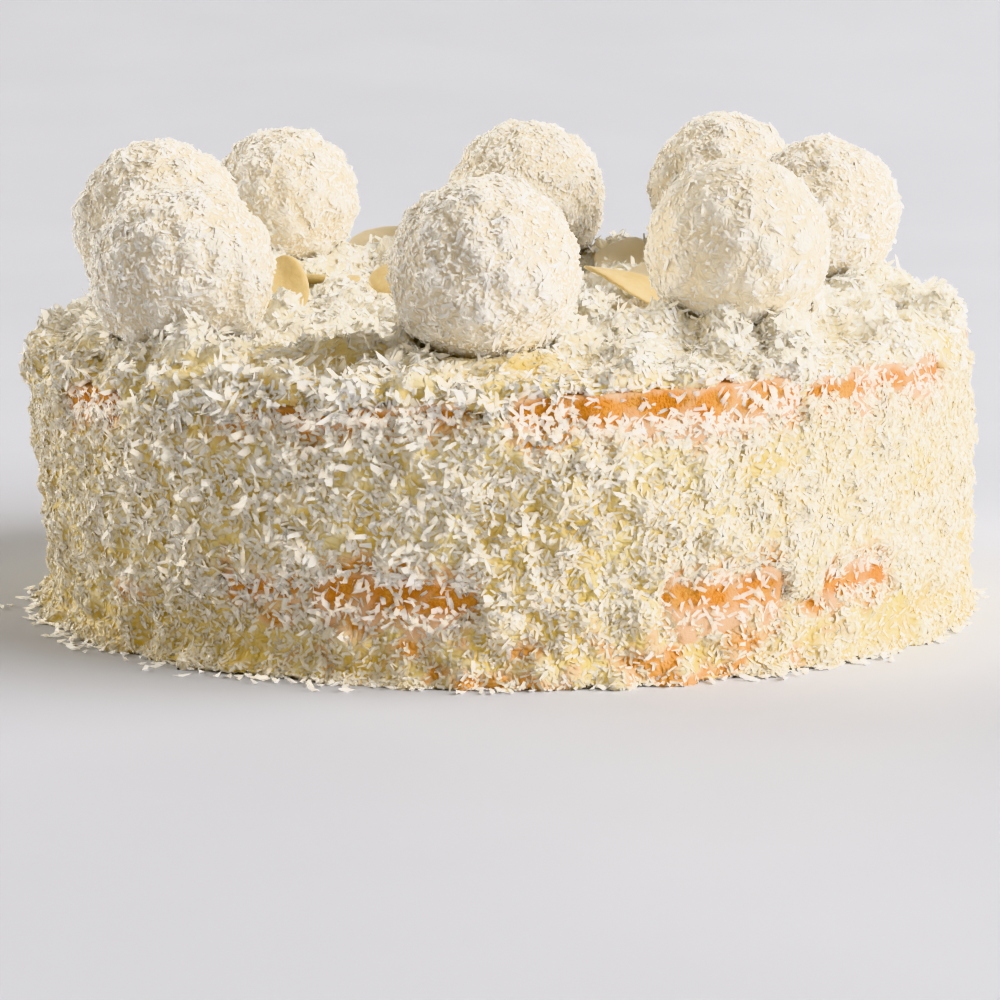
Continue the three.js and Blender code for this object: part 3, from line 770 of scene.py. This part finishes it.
def top_rings():
    shoulder = between(SHOULDER_LEFT, SHOULDER_RIGHT, to_right)
    flat_radius = coat_radius(UPPER_TOP) - shoulder
    flat_height = cream_level(flat_radius * np.sin(angles), -flat_radius * np.cos(angles))
    wall_top = np.maximum(top_lip + LEAST_WALL, flat_height - shoulder)
    inside = sponge_radius(UPPER_TOP)
    rings = [(radius, upper_top(radius) + GAP) for radius in reversed(CRUST_RINGS)]
    rings += [(upper_rim, upper_top(upper_rim) + GAP), (inside + GAP, upper_top(inside) + GAP)]
    rings += [(sponge_radius(top_lip) - LIP_TUCK, np.minimum(top_lip, upper_top(inside) + GAP))]
    for share in np.linspace(0, 1, SKIRT_RINGS):
        height = between(top_lip, wall_top, share)
        depth = coat_depth(height - top_lip, upper_bare)
        rings.append((sponge_radius(height) + GAP + depth, height))
    edge_radius = rings[-1][0]
    for share in np.linspace(0.08, 1, SHOULDER_RINGS):
        quarter = share * math.pi / 2
        radius = between(flat_radius, edge_radius, math.cos(quarter))
        rings.append((radius, between(wall_top, flat_height, math.sin(quarter))))
    for share in np.linspace(0.985, 0.02, TOP_RINGS):
        radius = flat_radius * share
        rings.append((radius, seated_level(radius * np.sin(angles), -radius * np.cos(angles))))
    return rings


all_top_rings = top_rings()
cream_top = add_cream("cream_top_coat", "cream_top", all_top_rings, (6, len(all_top_rings)),
                      [(top_lip, upper_bare)], TOP_RELIEF, seats=praline_balls.values(), bared=0.25)


# Pralines
# Balls of wafer and almond cream rolled in fine coconut, set in a ring in the top cream. The front
# left one is pressed flat on two sides, the front right one is smoother than the rest.
PRALINE_LUMPS = {"praline_front_right": 0.6}
PRALINE_FLATS = {"praline_front_left": [(0.92, -0.3, 0.1), (-0.1, -0.25, 0.95)]}
PRALINE_FLAT = 0.9
PRALINE_SHRED_STAND = 0.5
PRALINE_RELIEF = relief_sizes(0.5, 4, 0.25, 1.6)
PRALINE_DETAIL = 5
PRALINE_SMOOTH_DETAIL = 6


def praline_material():
    """Coconut matted in pale almond cream: ivory, with painted warm shade in its hollows and painted light
    on its lumps.
    """
    material, tree, shader = new_material("praline_coat", 0.7)
    tone, height = use_group(tree, coconut_mat, 1.8, 0.6)
    raised = mesh_value(tree, "raised")
    # Painted shade and light: warmer and darker in the hollows, paler on the lumps
    colour = mixed(tree, ranged(tree, raised, 0.1, 0.8), paint(247, 233, 204), paint(253, 246, 231))
    colour = mixed(tree, math_node(tree, "MULTIPLY", tone, 0.5), colour, paint(254, 250, 240))
    tree.links.new(colour, shader.inputs["Base Color"])
    roughen(tree, shader, height, 0.6, 0.3)
    return material


def smooth_mesh(name, shape):
    """Smooth mesh of a shape that was under work, which is let go."""
    for face in shape.faces:
        face.smooth = True
    mesh = bpy.data.meshes.new(name)
    shape.to_mesh(mesh)
    shape.free()
    return mesh


def praline_mesh(node):
    """Ball of the praline's own size, cut flat where it was pressed."""
    middle, radius = praline_balls[node]
    radius = radius - PRALINE_SHRED_STAND
    ball = bmesh.new()
    detail = PRALINE_SMOOTH_DETAIL if node in PRALINE_LUMPS else PRALINE_DETAIL
    bmesh.ops.create_icosphere(ball, subdivisions=detail, radius=radius)
    for corner in ball.verts:
        for flat in PRALINE_FLATS.get(node, []):
            side = Vector(flat).normalized()
            outside = corner.co.dot(side) - PRALINE_FLAT * radius
            if outside > 0:
                corner.co -= side * outside
        corner.co = (corner.co + Vector(middle)) * MM
    return smooth_mesh(node, ball)


praline_coat = praline_material()
pralines = []
for node in PRALINE_NODES:
    mesh = praline_mesh(node)
    set_values(mesh, "relief", np.full(len(mesh.vertices), PRALINE_LUMPS.get(node, 1.0)))
    praline = add_piece(node + "_ball", mesh)
    run_tree(praline, food_relief, PRALINE_RELIEF)
    praline.data.materials.append(praline_coat)
    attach(praline, "root")
    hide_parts(node)
    pralines.append(praline)


# Almond flakes
# Thin slices of blanched almond that stand and lie in the cream between the pralines, each a little
# wavy, with soft edges from the cutting.
ALMOND_NODES = [name for name in frame["nodes"] if name.startswith("almond_")]
ALMOND_LEVELS = 2
# Paler flakes: partly their own tint, partly painted light on flakes that stand in shade
ALMOND_PALENESS_AND_LIGHT = {"almond_2": 0.8, "almond_4": 0.8, "almond_8": 0.7, "almond_6": 0.5}


def almond_material():
    """Smooth tan almond with a faint sheen and paler streaks. Some flakes are paler all over, partly their
    own tint and partly painted light that lifts the shade they stand in.
    """
    material, tree, shader = new_material("almond_slice", 0.42)
    patches, grain = use_group(tree, food_grain, 4.0, 0.8)
    colour = mixed(tree, patches, paint(222, 192, 130), paint(234, 210, 154))
    colour = mixed(tree, math_node(tree, "MULTIPLY", grain, 0.25), colour, paint(202, 168, 106))
    # Paleness of each flake, in part painted light
    pale_and_lit = mesh_value(tree, "pale_and_lit")
    colour = mixed(tree, pale_and_lit, colour, paint(246, 232, 202))
    tree.links.new(colour, shader.inputs["Base Color"])
    roughen(tree, shader, grain, 0.2, 0.2)
    return material


def almond_mesh(node):
    """The flake's own solid with its loose triangles joined."""
    flake = bmesh.new()
    flake.from_mesh(frame["nodes"][node].data)
    bmesh.ops.remove_doubles(flake, verts=flake.verts, dist=0.01 * MM)
    return smooth_mesh(node, flake)


almond_slice = almond_material()
for node in ALMOND_NODES:
    almond = add_piece(node + "_slice", almond_mesh(node))
    rounding = almond.modifiers.new("rounding", "SUBSURF")
    rounding.levels = ALMOND_LEVELS
    graph = bpy.context.evaluated_depsgraph_get()
    rounded = bpy.data.meshes.new_from_object(almond.evaluated_get(graph), depsgraph=graph)
    almond.modifiers.clear()
    almond.data = rounded
    set_values(rounded, "pale_and_lit", np.full(len(rounded.vertices), ALMOND_PALENESS_AND_LIGHT.get(node, 0.1)))
    rounded.materials.clear()
    rounded.materials.append(almond_slice)
    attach(almond, "root")
    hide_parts(node)


# Coconut on the side
# Dried coconut, shaved into chips and finer slivers a few millimetres long, and pressed by hand into the
# cream of the side. Chips are thickest where the coat stayed dry, at the front left and behind.
CHIP_SHAPES = 14
SLIVER_SHAPES = 10
CHIP_REST = 0.35
SHRED_SEED = 23
GLOW_COLOURS = (1.0, 0.97, 0.9)
GLOW_DEPTH = 1.8
DRY_FRONT = (-22, 34)
DRY_BACK = (150, 30)
CHIP_SIZE = ((1.3, 3.6), (0.45, 1.1), 0.24)
SLIVER_SIZE = ((0.7, 2.1), (0.4, 0.85), 0.24)
CHIP_SHARE = (0.6, 1.5)
SLIVER_SHARE = (1.2, 0.85)
shred_draw = np.random.default_rng(SHRED_SEED)


def chip_mesh(name):
    """Chip of unit length: flat above, with a thin belly and cut ends, bent, twisted and uneven."""
    bend = shred_draw.uniform(-0.2, 0.6)
    twist = shred_draw.uniform(-0.7, 0.7)
    broad = 0.5 * shred_draw.uniform(0.75, 1.2)
    drift = shred_draw.uniform(-0.2, 0.2)
    corners = []
    ends = shred_draw.uniform(0.5, 0.95), shred_draw.uniform(0.5, 0.95)
    for share, taper in ((0, ends[0]), (0.5, 1.0), (1, ends[1])):
        half = broad * taper
        slant = shred_draw.uniform(-0.14, 0.14) if share != 0.5 else 0.0
        aside = drift * (1 - abs(2 * share - 1))
        rise = half * math.sin(twist * share)
        lift = bend * share ** 2
        along = share - CHIP_REST
        corners += [(along + slant, aside - half, lift - rise), (along - slant, aside + half, lift + rise)]
    corners.append((0.5 - CHIP_REST, drift, bend / 4 - 1.0))
    faces = [(0, 2, 3, 1), (2, 4, 5, 3), (0, 6, 2), (0, 1, 6), (1, 3, 6), (2, 6, 4), (6, 5, 4), (6, 3, 5)]
    mesh = bpy.data.meshes.new(name)
    mesh.from_pydata(corners, [], faces)
    mesh.polygons.foreach_set("use_smooth", [True] * len(faces))
    rim = {(0, 2), (2, 4), (4, 5), (3, 5), (1, 3), (0, 1)}
    sharp = mesh.attributes.new("sharp_edge", "BOOLEAN", "EDGE")
    sharp.data.foreach_set("value", [tuple(sorted(edge.vertices)) in rim for edge in mesh.edges])
    return mesh


def sliver_mesh(name):
    """Sliver of unit length, twisted a little from one cut end to the other, with a thin belly."""
    first = 0.5 * shred_draw.uniform(0.6, 1.1)
    second = 0.5 * shred_draw.uniform(0.5, 1.0)
    lift = shred_draw.uniform(0.2, 1.0)
    twist = shred_draw.uniform(-0.6, 0.6)
    corners = [(-0.4, -first, 0.5), (-0.45, first, 0.5)]
    corners += [(0.55, -second, lift - twist), (0.6, second, lift + twist), (0.1, 0.0, -0.6)]
    faces = [(0, 2, 3, 1), (0, 4, 2), (2, 4, 3), (3, 4, 1), (1, 4, 0)]
    mesh = bpy.data.meshes.new(name)
    mesh.from_pydata(corners, [], faces)
    return mesh


def shape_collection(name, make, count):
    shapes = bpy.data.collections.new(name)
    for number in range(count):
        shape = f"{name}_{number}"
        shapes.objects.link(bpy.data.objects.new(shape, make(shape)))
    return shapes


chips = shape_collection("chip", chip_mesh, CHIP_SHAPES)
slivers = shape_collection("sliver", sliver_mesh, SLIVER_SHAPES)


def shred_tree():
    """Scatters shreds over a surface, more where its coconut value is high and steeper where it is dry."""
    floats = ("Density", "Shortest", "Longest", "Narrowest", "Widest", "Thickness", "Most Lift")
    sockets = [(name, "NodeSocketFloat") for name in floats]
    sockets += [("Seed", "NodeSocketInt"), ("Shreds", "NodeSocketCollection")]
    sockets += [("Finish", "NodeSocketMaterial")]
    tree, given, result = new_tree("coconut_scatter", sockets)

    def kept_value(name):
        node = new_node(tree, "GeometryNodeInputNamedAttribute", {"Name": name}, data_type="FLOAT")
        return node.outputs[0]

    def drawn(low, high, offset):
        seed = math_node(tree, "ADD", given["Seed"], float(offset))
        node = new_node(tree, "FunctionNodeRandomValue", {2: low, 3: high, "Seed": seed}, data_type="FLOAT")
        return node.outputs[1]

    def turned(rotation, axis, angle):
        turn = new_node(tree, "FunctionNodeAxisAngleToRotation", {"Axis": axis, "Angle": angle})
        node = new_node(tree, "FunctionNodeRotateRotation",
                        {"Rotation": rotation, "Rotate By": turn.outputs[0]}, rotation_space="LOCAL")
        return node.outputs[0]

    density = math_node(tree, "MULTIPLY", kept_value("coconut"), given["Density"])
    points = new_node(tree, "GeometryNodeDistributePointsOnFaces",
                      {"Mesh": given["Geometry"], "Density": density, "Seed": given["Seed"]})
    lift = math_node(tree, "POWER", drawn(0.0, 1.0, 1), 1.5)
    lift = math_node(tree, "MULTIPLY", lift, given["Most Lift"])
    lift = math_node(tree, "MULTIPLY", lift, ranged(tree, kept_value("dry"), 0.0, 1.0, -0.3, -1.0))
    rotation = turned(points.outputs["Rotation"], (0, 0, 1), drawn(0.0, 2 * math.pi, 2))
    rotation = turned(rotation, (0, 1, 0), lift)
    roll = math_node(tree, "MULTIPLY", drawn(-0.7, 0.7, 3), given["Most Lift"])
    rotation = turned(rotation, (1, 0, 0), roll)
    mostly_short = math_node(tree, "POWER", drawn(0.0, 1.0, 4), 1.5)
    length = new_node(tree, "ShaderNodeMapRange", {"Value": mostly_short, "To Min": given["Shortest"],
                                                   "To Max": given["Longest"]})
    growth = ranged(tree, kept_value("dry"), 0.0, 1.0, 0.8, 1.08)
    size = new_node(tree, "ShaderNodeCombineXYZ", {
        0: math_node(tree, "MULTIPLY", length.outputs[0], growth),
        1: math_node(tree, "MULTIPLY", drawn(given["Narrowest"], given["Widest"], 5), growth),
        2: given["Thickness"],
    })
    shapes = new_node(tree, "GeometryNodeCollectionInfo",
                      {"Collection": given["Shreds"], "Separate Children": True, "Reset Children": True})
    placed = new_node(tree, "GeometryNodeInstanceOnPoints", {
        "Points": points.outputs["Points"], "Instance": shapes.outputs[0], "Pick Instance": True,
        "Rotation": rotation, "Scale": size.outputs[0],
    })
    tone = math_node(tree, "MULTIPLY_ADD", kept_value("dry"), 0.35, drawn(0.0, 0.65, 6))
    toned = new_node(tree, "GeometryNodeStoreNamedAttribute",
                     {"Geometry": placed.outputs[0], "Name": "tone", "Value": tone},
                     data_type="FLOAT", domain="INSTANCE")
    real = new_node(tree, "GeometryNodeRealizeInstances", {"Geometry": toned.outputs[0]})
    place = new_node(tree, "GeometryNodeInputPosition").outputs[0]
    sides = new_node(tree, "ShaderNodeSeparateXYZ", {0: place}).outputs
    rested = new_node(tree, "ShaderNodeCombineXYZ",
                      {0: sides[0], 1: sides[1], 2: math_node(tree, "MAXIMUM", sides[2], 0.0)})
    above = new_node(tree, "GeometryNodeSetPosition",
                     {"Geometry": real.outputs[0], "Position": rested.outputs[0]})
    finished = new_node(tree, "GeometryNodeSetMaterial",
                        {"Geometry": above.outputs[0], "Material": given["Finish"]})
    tree.links.new(finished.outputs[0], result[0])
    return tree


def coconut_material(name, soaked, dry, glow):
    """Coconut, white where dry and ivory where cream soaked it, with a share of light glowing through."""
    material, tree, shader = new_material(name, 0.65)
    shader.subsurface_method = "BURLEY"
    shader.inputs["Subsurface Weight"].default_value = glow
    shader.inputs["Subsurface Radius"].default_value = GLOW_COLOURS
    shader.inputs["Subsurface Scale"].default_value = GLOW_DEPTH * MM
    colour = mixed(tree, ranged(tree, mesh_value(tree, "tone"), 0.25, 0.95), soaked, dry)
    _, grain = use_group(tree, food_grain, 4.0, 0.5)
    colour = mixed(tree, math_node(tree, "MULTIPLY", grain, 0.3), colour, soaked)
    tree.links.new(colour, shader.inputs["Base Color"])
    return material


coconut_scatter = shred_tree()
coat_shreds = coconut_material("coat_shreds", paint(254, 248, 235), paint(255, 255, 253), 0.85)
soaked_shreds = coconut_material("soaked_shreds", paint(253, 244, 222), paint(255, 253, 246), 0.0)


def scatter_coconut(name, mesh, shapes, finish, sizes, seed):
    """Strews shreds over a surface with coconut and dry values, as a piece of its own."""
    piece = add_piece(name, mesh)
    values = {"Shreds": shapes, "Finish": finish, "Seed": seed}
    values.update(sizes)
    run_tree(piece, coconut_scatter, values)
    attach(piece, "root")


def shred_sizes(per_mm2, length, width, thickness, most_lift):
    """Inputs of the scatter tree: how many, least and most length and width, and lift in degrees."""
    return {"Density": per_mm2 / MM ** 2, "Shortest": length[0] * MM, "Longest": length[1] * MM,
            "Narrowest": width[0] * MM, "Widest": width[1] * MM, "Thickness": thickness * MM,
            "Most Lift": math.radians(most_lift)}


def dryness(places):
    """1 where the coconut stayed dry and loose, 0 where cream soaked it."""
    turn = angle_of(places)
    front = np.exp(-((turn - DRY_FRONT[0]) / DRY_FRONT[1]) ** 2)
    back = np.exp(-((np.abs(turn) - DRY_BACK[0]) / DRY_BACK[1]) ** 2)
    loose = between(0.1, 1.0, np.maximum(front, back)) * smooth(2, 14, places[:, 2])
    return np.clip(loose + 0.5 * (uneven(places, 12, 7.7) - 0.5), 0, 1)


SIDE_CHIPS = shred_sizes(0.48, *CHIP_SIZE, 50)
SIDE_SLIVERS = shred_sizes(1.4, *SLIVER_SIZE, 50)


def values_of(mesh, name):
    values = np.empty(len(mesh.vertices), dtype=np.float32)
    mesh.attributes[name].data.foreach_get("value", values)
    return values


def coconut_surface(piece, seed):
    """Copy of a coat's mesh with how much coconut it carries and how dry that is."""
    mesh = piece.data.copy()
    places = corners_of(mesh)
    above_base = places[:, 2]
    dry = dryness(places)
    patchy = between(0.4, 1.15, smooth(0.3, 0.65, uneven(places, 6, seed)))
    worn = between(1.0, 0.6, values_of(mesh, "thin"))
    lips = between(1.0, 2.0, values_of(mesh, "edge"))
    smears = between(1.0, 0.2, near_spots(places, CREAM_SMEARS)) * between(1.0, 0.5, plain_cream(places))
    foot = between(0.65, 1.0, smooth(*SOAKED_FOOT, above_base))
    foot = foot * between(2.0, 1.0, smooth(0.5, 2.5, above_base))
    share = values_of(mesh, "coated") * patchy * worn * between(1.3, 1.0, dry) * lips * smears * foot
    set_values(mesh, "coconut", share)
    set_values(mesh, "dry", dry)
    return mesh


def strew(place, mesh, chip_sizes, sliver_sizes, sliver_finish, seed):
    """Chips and finer slivers on one coat, each kind a piece, in shares from soaked to dry."""
    share = values_of(mesh, "coconut")
    dry = values_of(mesh, "dry")
    fine = mesh.copy()
    set_values(mesh, "coconut", share * between(*CHIP_SHARE, dry))
    set_values(fine, "coconut", share * between(*SLIVER_SHARE, dry))
    scatter_coconut("coconut_on_" + place, mesh, chips, coat_shreds, chip_sizes, seed)
    scatter_coconut("fine_coconut_on_" + place, fine, slivers, sliver_finish,
                    sliver_sizes, seed + 1)


strew("foot", coconut_surface(cream_foot, 3.3), SIDE_CHIPS, SIDE_SLIVERS, soaked_shreds, 11)
strew("filling", coconut_surface(cream_filling, 8.1), SIDE_CHIPS, SIDE_SLIVERS, soaked_shreds, 21)


# Coconut on the top
# The same coconut strewn over the top cream, white and dry, with larger chips along the rim where
# handfuls of it were pressed round the edge. None lies where the pralines sit.
TOP_CHIPS = shred_sizes(0.17, *CHIP_SIZE, 50)
TOP_SLIVERS = shred_sizes(0.95, *SLIVER_SIZE, 60)
RIM_CHIPS = shred_sizes(0.28, (2.4, 4.4), (0.7, 1.4), 0.28, 60)
CLEAR_UNDER_PRALINE = (6, 8)
DRY_HEIGHTS = (45, 49)
RIM_RADII = (58, 66)
RIM_HEIGHTS = (36, 40)
top_shreds = coconut_material("top_shreds", paint(254, 250, 240), paint(255, 255, 254), 0.0)

top_mesh = coconut_surface(cream_top, 5.7)
top_places = corners_of(top_mesh)
top_share = values_of(top_mesh, "coconut")
for middle, _ in praline_balls.values():
    away = np.hypot(top_places[:, 0] - middle[0], top_places[:, 1] - middle[1])
    top_share = top_share * smooth(*CLEAR_UNDER_PRALINE, away)
top_dry = np.maximum(values_of(top_mesh, "dry"), 0.85 * smooth(*DRY_HEIGHTS, top_places[:, 2]))
set_values(top_mesh, "coconut", top_share)
set_values(top_mesh, "dry", top_dry)
rim_mesh = top_mesh.copy()
strew("top", top_mesh, TOP_CHIPS, TOP_SLIVERS, top_shreds, 31)

near_edge = smooth(*RIM_RADII, np.hypot(top_places[:, 0], top_places[:, 1]))
rim_share = near_edge * smooth(*RIM_HEIGHTS, top_places[:, 2]) * dryness(top_places)
set_values(rim_mesh, "coconut", rim_share * values_of(rim_mesh, "coconut"))
scatter_coconut("large_coconut_on_rim", rim_mesh, chips, coat_shreds, RIM_CHIPS, 33)


# Loose coconut
# Slivers that fell while the side was coated and lie almost flat round the foot, close to the cake and
# more of them on the left.
LOOSE_LEFT = 9.0
LOOSE_RIGHT = 3.5
LOOSE_HEIGHT = 0.2
LOOSE_RINGS = np.linspace(1, 0, 6)
LOOSE_SLIVERS = shred_sizes(0.9, (1.2, 3.2), (0.5, 1.0), 0.4, 30)

loose_reach = between(LOOSE_LEFT, LOOSE_RIGHT, to_right) * (1 + 0.4 * ragged(9, 3.9))
loose_start = sponge_radius(0) + COAT_THICKNESS
loose_rings = [(loose_start + share * loose_reach, LOOSE_HEIGHT) for share in LOOSE_RINGS]
loose_mesh = turned_mesh("loose_coconut", loose_rings, "open")
loose_places = corners_of(loose_mesh)
loose_share = np.repeat((1 - LOOSE_RINGS) ** 2, STEPS) * between(0.3, 1.0, uneven(loose_places, 5, 1.3))
set_values(loose_mesh, "coconut", loose_share)
set_values(loose_mesh, "dry", uneven(loose_places, 6, 2.4))
scatter_coconut("loose_coconut_round_foot", loose_mesh, slivers, coat_shreds,
                LOOSE_SLIVERS, 35)


# Coconut on the bare sponge
# Single chips that stuck to the sponge where the coat was scraped off: most at the edges of the bare
# patches, where cream was smeared over them, and at spots of (angle, height, half width, half height).
STREWN_SPOTS = [(-54, 40, 12.0, 6.0), (-20, 40, 20.0, 4.0), (5, 38.5, 6.0, 2.5), (21, 38.8, 9.0, 1.8),
                (32, 42, 6.0, 4.0), (47, 43, 4.0, 4.0), (58, 44, 4.0, 4.0)]
BARE_CHIPS = shred_sizes(0.55, (1.1, 3.2), (0.4, 0.9), 0.25, 45)
SHARE_ANYWHERE = 0.35
SHARE_AT_EDGES = 1.6
SHARE_ON_SMEARS = 0.8
SHARE_AT_SPOTS = 2.8

for name, sponge, seed in (("coconut_on_lower_sponge", sponge_lower, 14),
                           ("coconut_on_upper_sponge", sponge_upper, 15)):
    bare_mesh = sponge.data.copy()
    places = corners_of(bare_mesh)
    share = SHARE_ANYWHERE + SHARE_AT_EDGES * values_of(bare_mesh, "edge")
    share = share + SHARE_ON_SMEARS * values_of(bare_mesh, "smear")
    dry = dryness(places)
    share = share * between(0.6, 1.7, dry) + SHARE_AT_SPOTS * near_spots(places, STREWN_SPOTS)
    set_values(bare_mesh, "coconut", share * values_of(bare_mesh, "window"))
    set_values(bare_mesh, "dry", between(0.4, 1.0, dry))
    scatter_coconut(name, bare_mesh, chips, coat_shreds, BARE_CHIPS, seed)


# Coconut on the pralines
# The fine coconut that the balls were rolled in, with a few larger slivers. The smooth ball at the
# front right carries less of it.
BALL_SLIVERS = shred_sizes(1.6, (0.6, 1.5), (0.3, 0.65), 0.2, 32)
BALL_LARGE_SLIVERS = shred_sizes(0.1, (1.5, 2.8), (0.6, 1.0), 0.28, 26)
praline_shreds = coconut_material("praline_shreds", paint(254, 250, 242), paint(255, 255, 253), 0.5)

joined = bmesh.new()
for praline in pralines:
    joined.from_mesh(praline.data)
ball_mesh = smooth_mesh("all_pralines", joined)
ball_places = corners_of(ball_mesh)
ball_share = (0.35 + 1.2 * uneven(ball_places, 5, 2.9)) * values_of(ball_mesh, "relief") ** 2
set_values(ball_mesh, "coconut", ball_share)
set_values(ball_mesh, "dry", uneven(ball_places, 9, 6.6))
large_mesh = ball_mesh.copy()
scatter_coconut("coconut_on_pralines", ball_mesh, slivers, praline_shreds, BALL_SLIVERS, 16)
scatter_coconut("large_coconut_on_pralines", large_mesh, slivers, praline_shreds,
                BALL_LARGE_SLIVERS, 17)

# The shapes that were scattered are no pieces themselves
for shapes in (chips, slivers):
    for shape in list(shapes.objects):
        bpy.data.objects.remove(shape)
    bpy.data.collections.remove(shapes)


# Camera, floor and light
# A long lens a little above the cake, a pale floor that curves up behind it, one large soft light from
# the right, a weak one from behind on the left and a warm glow from all round. The floor and the lights
# are in metres.
CAMERA_DISTANCE = 525.8
CAMERA_HEIGHT = 98.2
CAMERA_PITCH = 8.89
CAMERA_LENS = 112.5
FLOOR_HALF_WIDTH = 4.0
FLOOR_FRONT = -3.0
FLOOR_BACK = 0.3
FLOOR_CURVE = 2.5
FLOOR_CURVE_STEPS = 12
WALL_HEIGHT = 4.0
LIGHT_AIM = Vector((0, 0, 0.03))
GLOW_STRENGTH = 0.33

lens = bpy.data.cameras.new("camera")
lens.lens = CAMERA_LENS
camera = bpy.data.objects.new("camera", lens)
camera.location = (0, -CAMERA_DISTANCE * MM, CAMERA_HEIGHT * MM)
camera.rotation_euler = (math.radians(90 - CAMERA_PITCH), 0, 0)
bpy.context.scene.collection.objects.link(camera)
bpy.context.scene.camera = camera


def floor_mesh():
    """One sheet: flat under the cake, curved up into a wall behind it."""
    line = [(FLOOR_FRONT, 0.0), (FLOOR_BACK, 0.0)]
    for step in range(1, FLOOR_CURVE_STEPS + 1):
        turn = step / FLOOR_CURVE_STEPS * math.pi / 2
        line.append((FLOOR_BACK + FLOOR_CURVE * math.sin(turn), FLOOR_CURVE * (1 - math.cos(turn))))
    line.append((FLOOR_BACK + FLOOR_CURVE, WALL_HEIGHT))
    corners = [(x, y, z) for y, z in line for x in (-FLOOR_HALF_WIDTH, FLOOR_HALF_WIDTH)]
    faces = [(2 * row, 2 * row + 1, 2 * row + 3, 2 * row + 2) for row in range(len(line) - 1)]
    mesh = bpy.data.meshes.new("floor")
    mesh.from_pydata(corners, [], faces)
    mesh.polygons.foreach_set("use_smooth", [True] * len(mesh.polygons))
    return mesh


floor_white, floor_tree, floor_shader = new_material("floor_white", 0.6)
floor_patches, _ = use_group(floor_tree, food_grain, 90.0, 4.0)
floor_colour = mixed(floor_tree, floor_patches, paint(203, 204, 209), paint(206, 207, 212))
floor_tree.links.new(floor_colour, floor_shader.inputs["Base Color"])
floor = add_piece("floor", floor_mesh())
floor.data.materials.append(floor_white)


def add_light(name, place, size, power, colour):
    light = bpy.data.lights.new(name, "AREA")
    light.shape = "DISK"
    light.size = size
    light.energy = power
    light.color = colour
    lamp = bpy.data.objects.new(name, light)
    lamp.location = place
    lamp.rotation_euler = (LIGHT_AIM - Vector(place)).to_track_quat("-Z", "Y").to_euler()
    bpy.context.scene.collection.objects.link(lamp)


add_light("window", place=(2.5, -0.4, 1.25), size=3.0, power=173.0, colour=(1.0, 1.0, 1.03))
add_light("back_left", place=(-1.75, 0.95, 0.65), size=1.2, power=28.0, colour=(1.0, 1.0, 1.0))
world = bpy.data.worlds.new("studio")
world.use_nodes = True
glow = world.node_tree.nodes["Background"]
glow.inputs["Color"].default_value = paint(244, 232, 208)
glow.inputs["Strength"].default_value = GLOW_STRENGTH
bpy.context.scene.world = world
bpy.context.scene.view_settings.view_transform = "Khronos PBR Neutral"
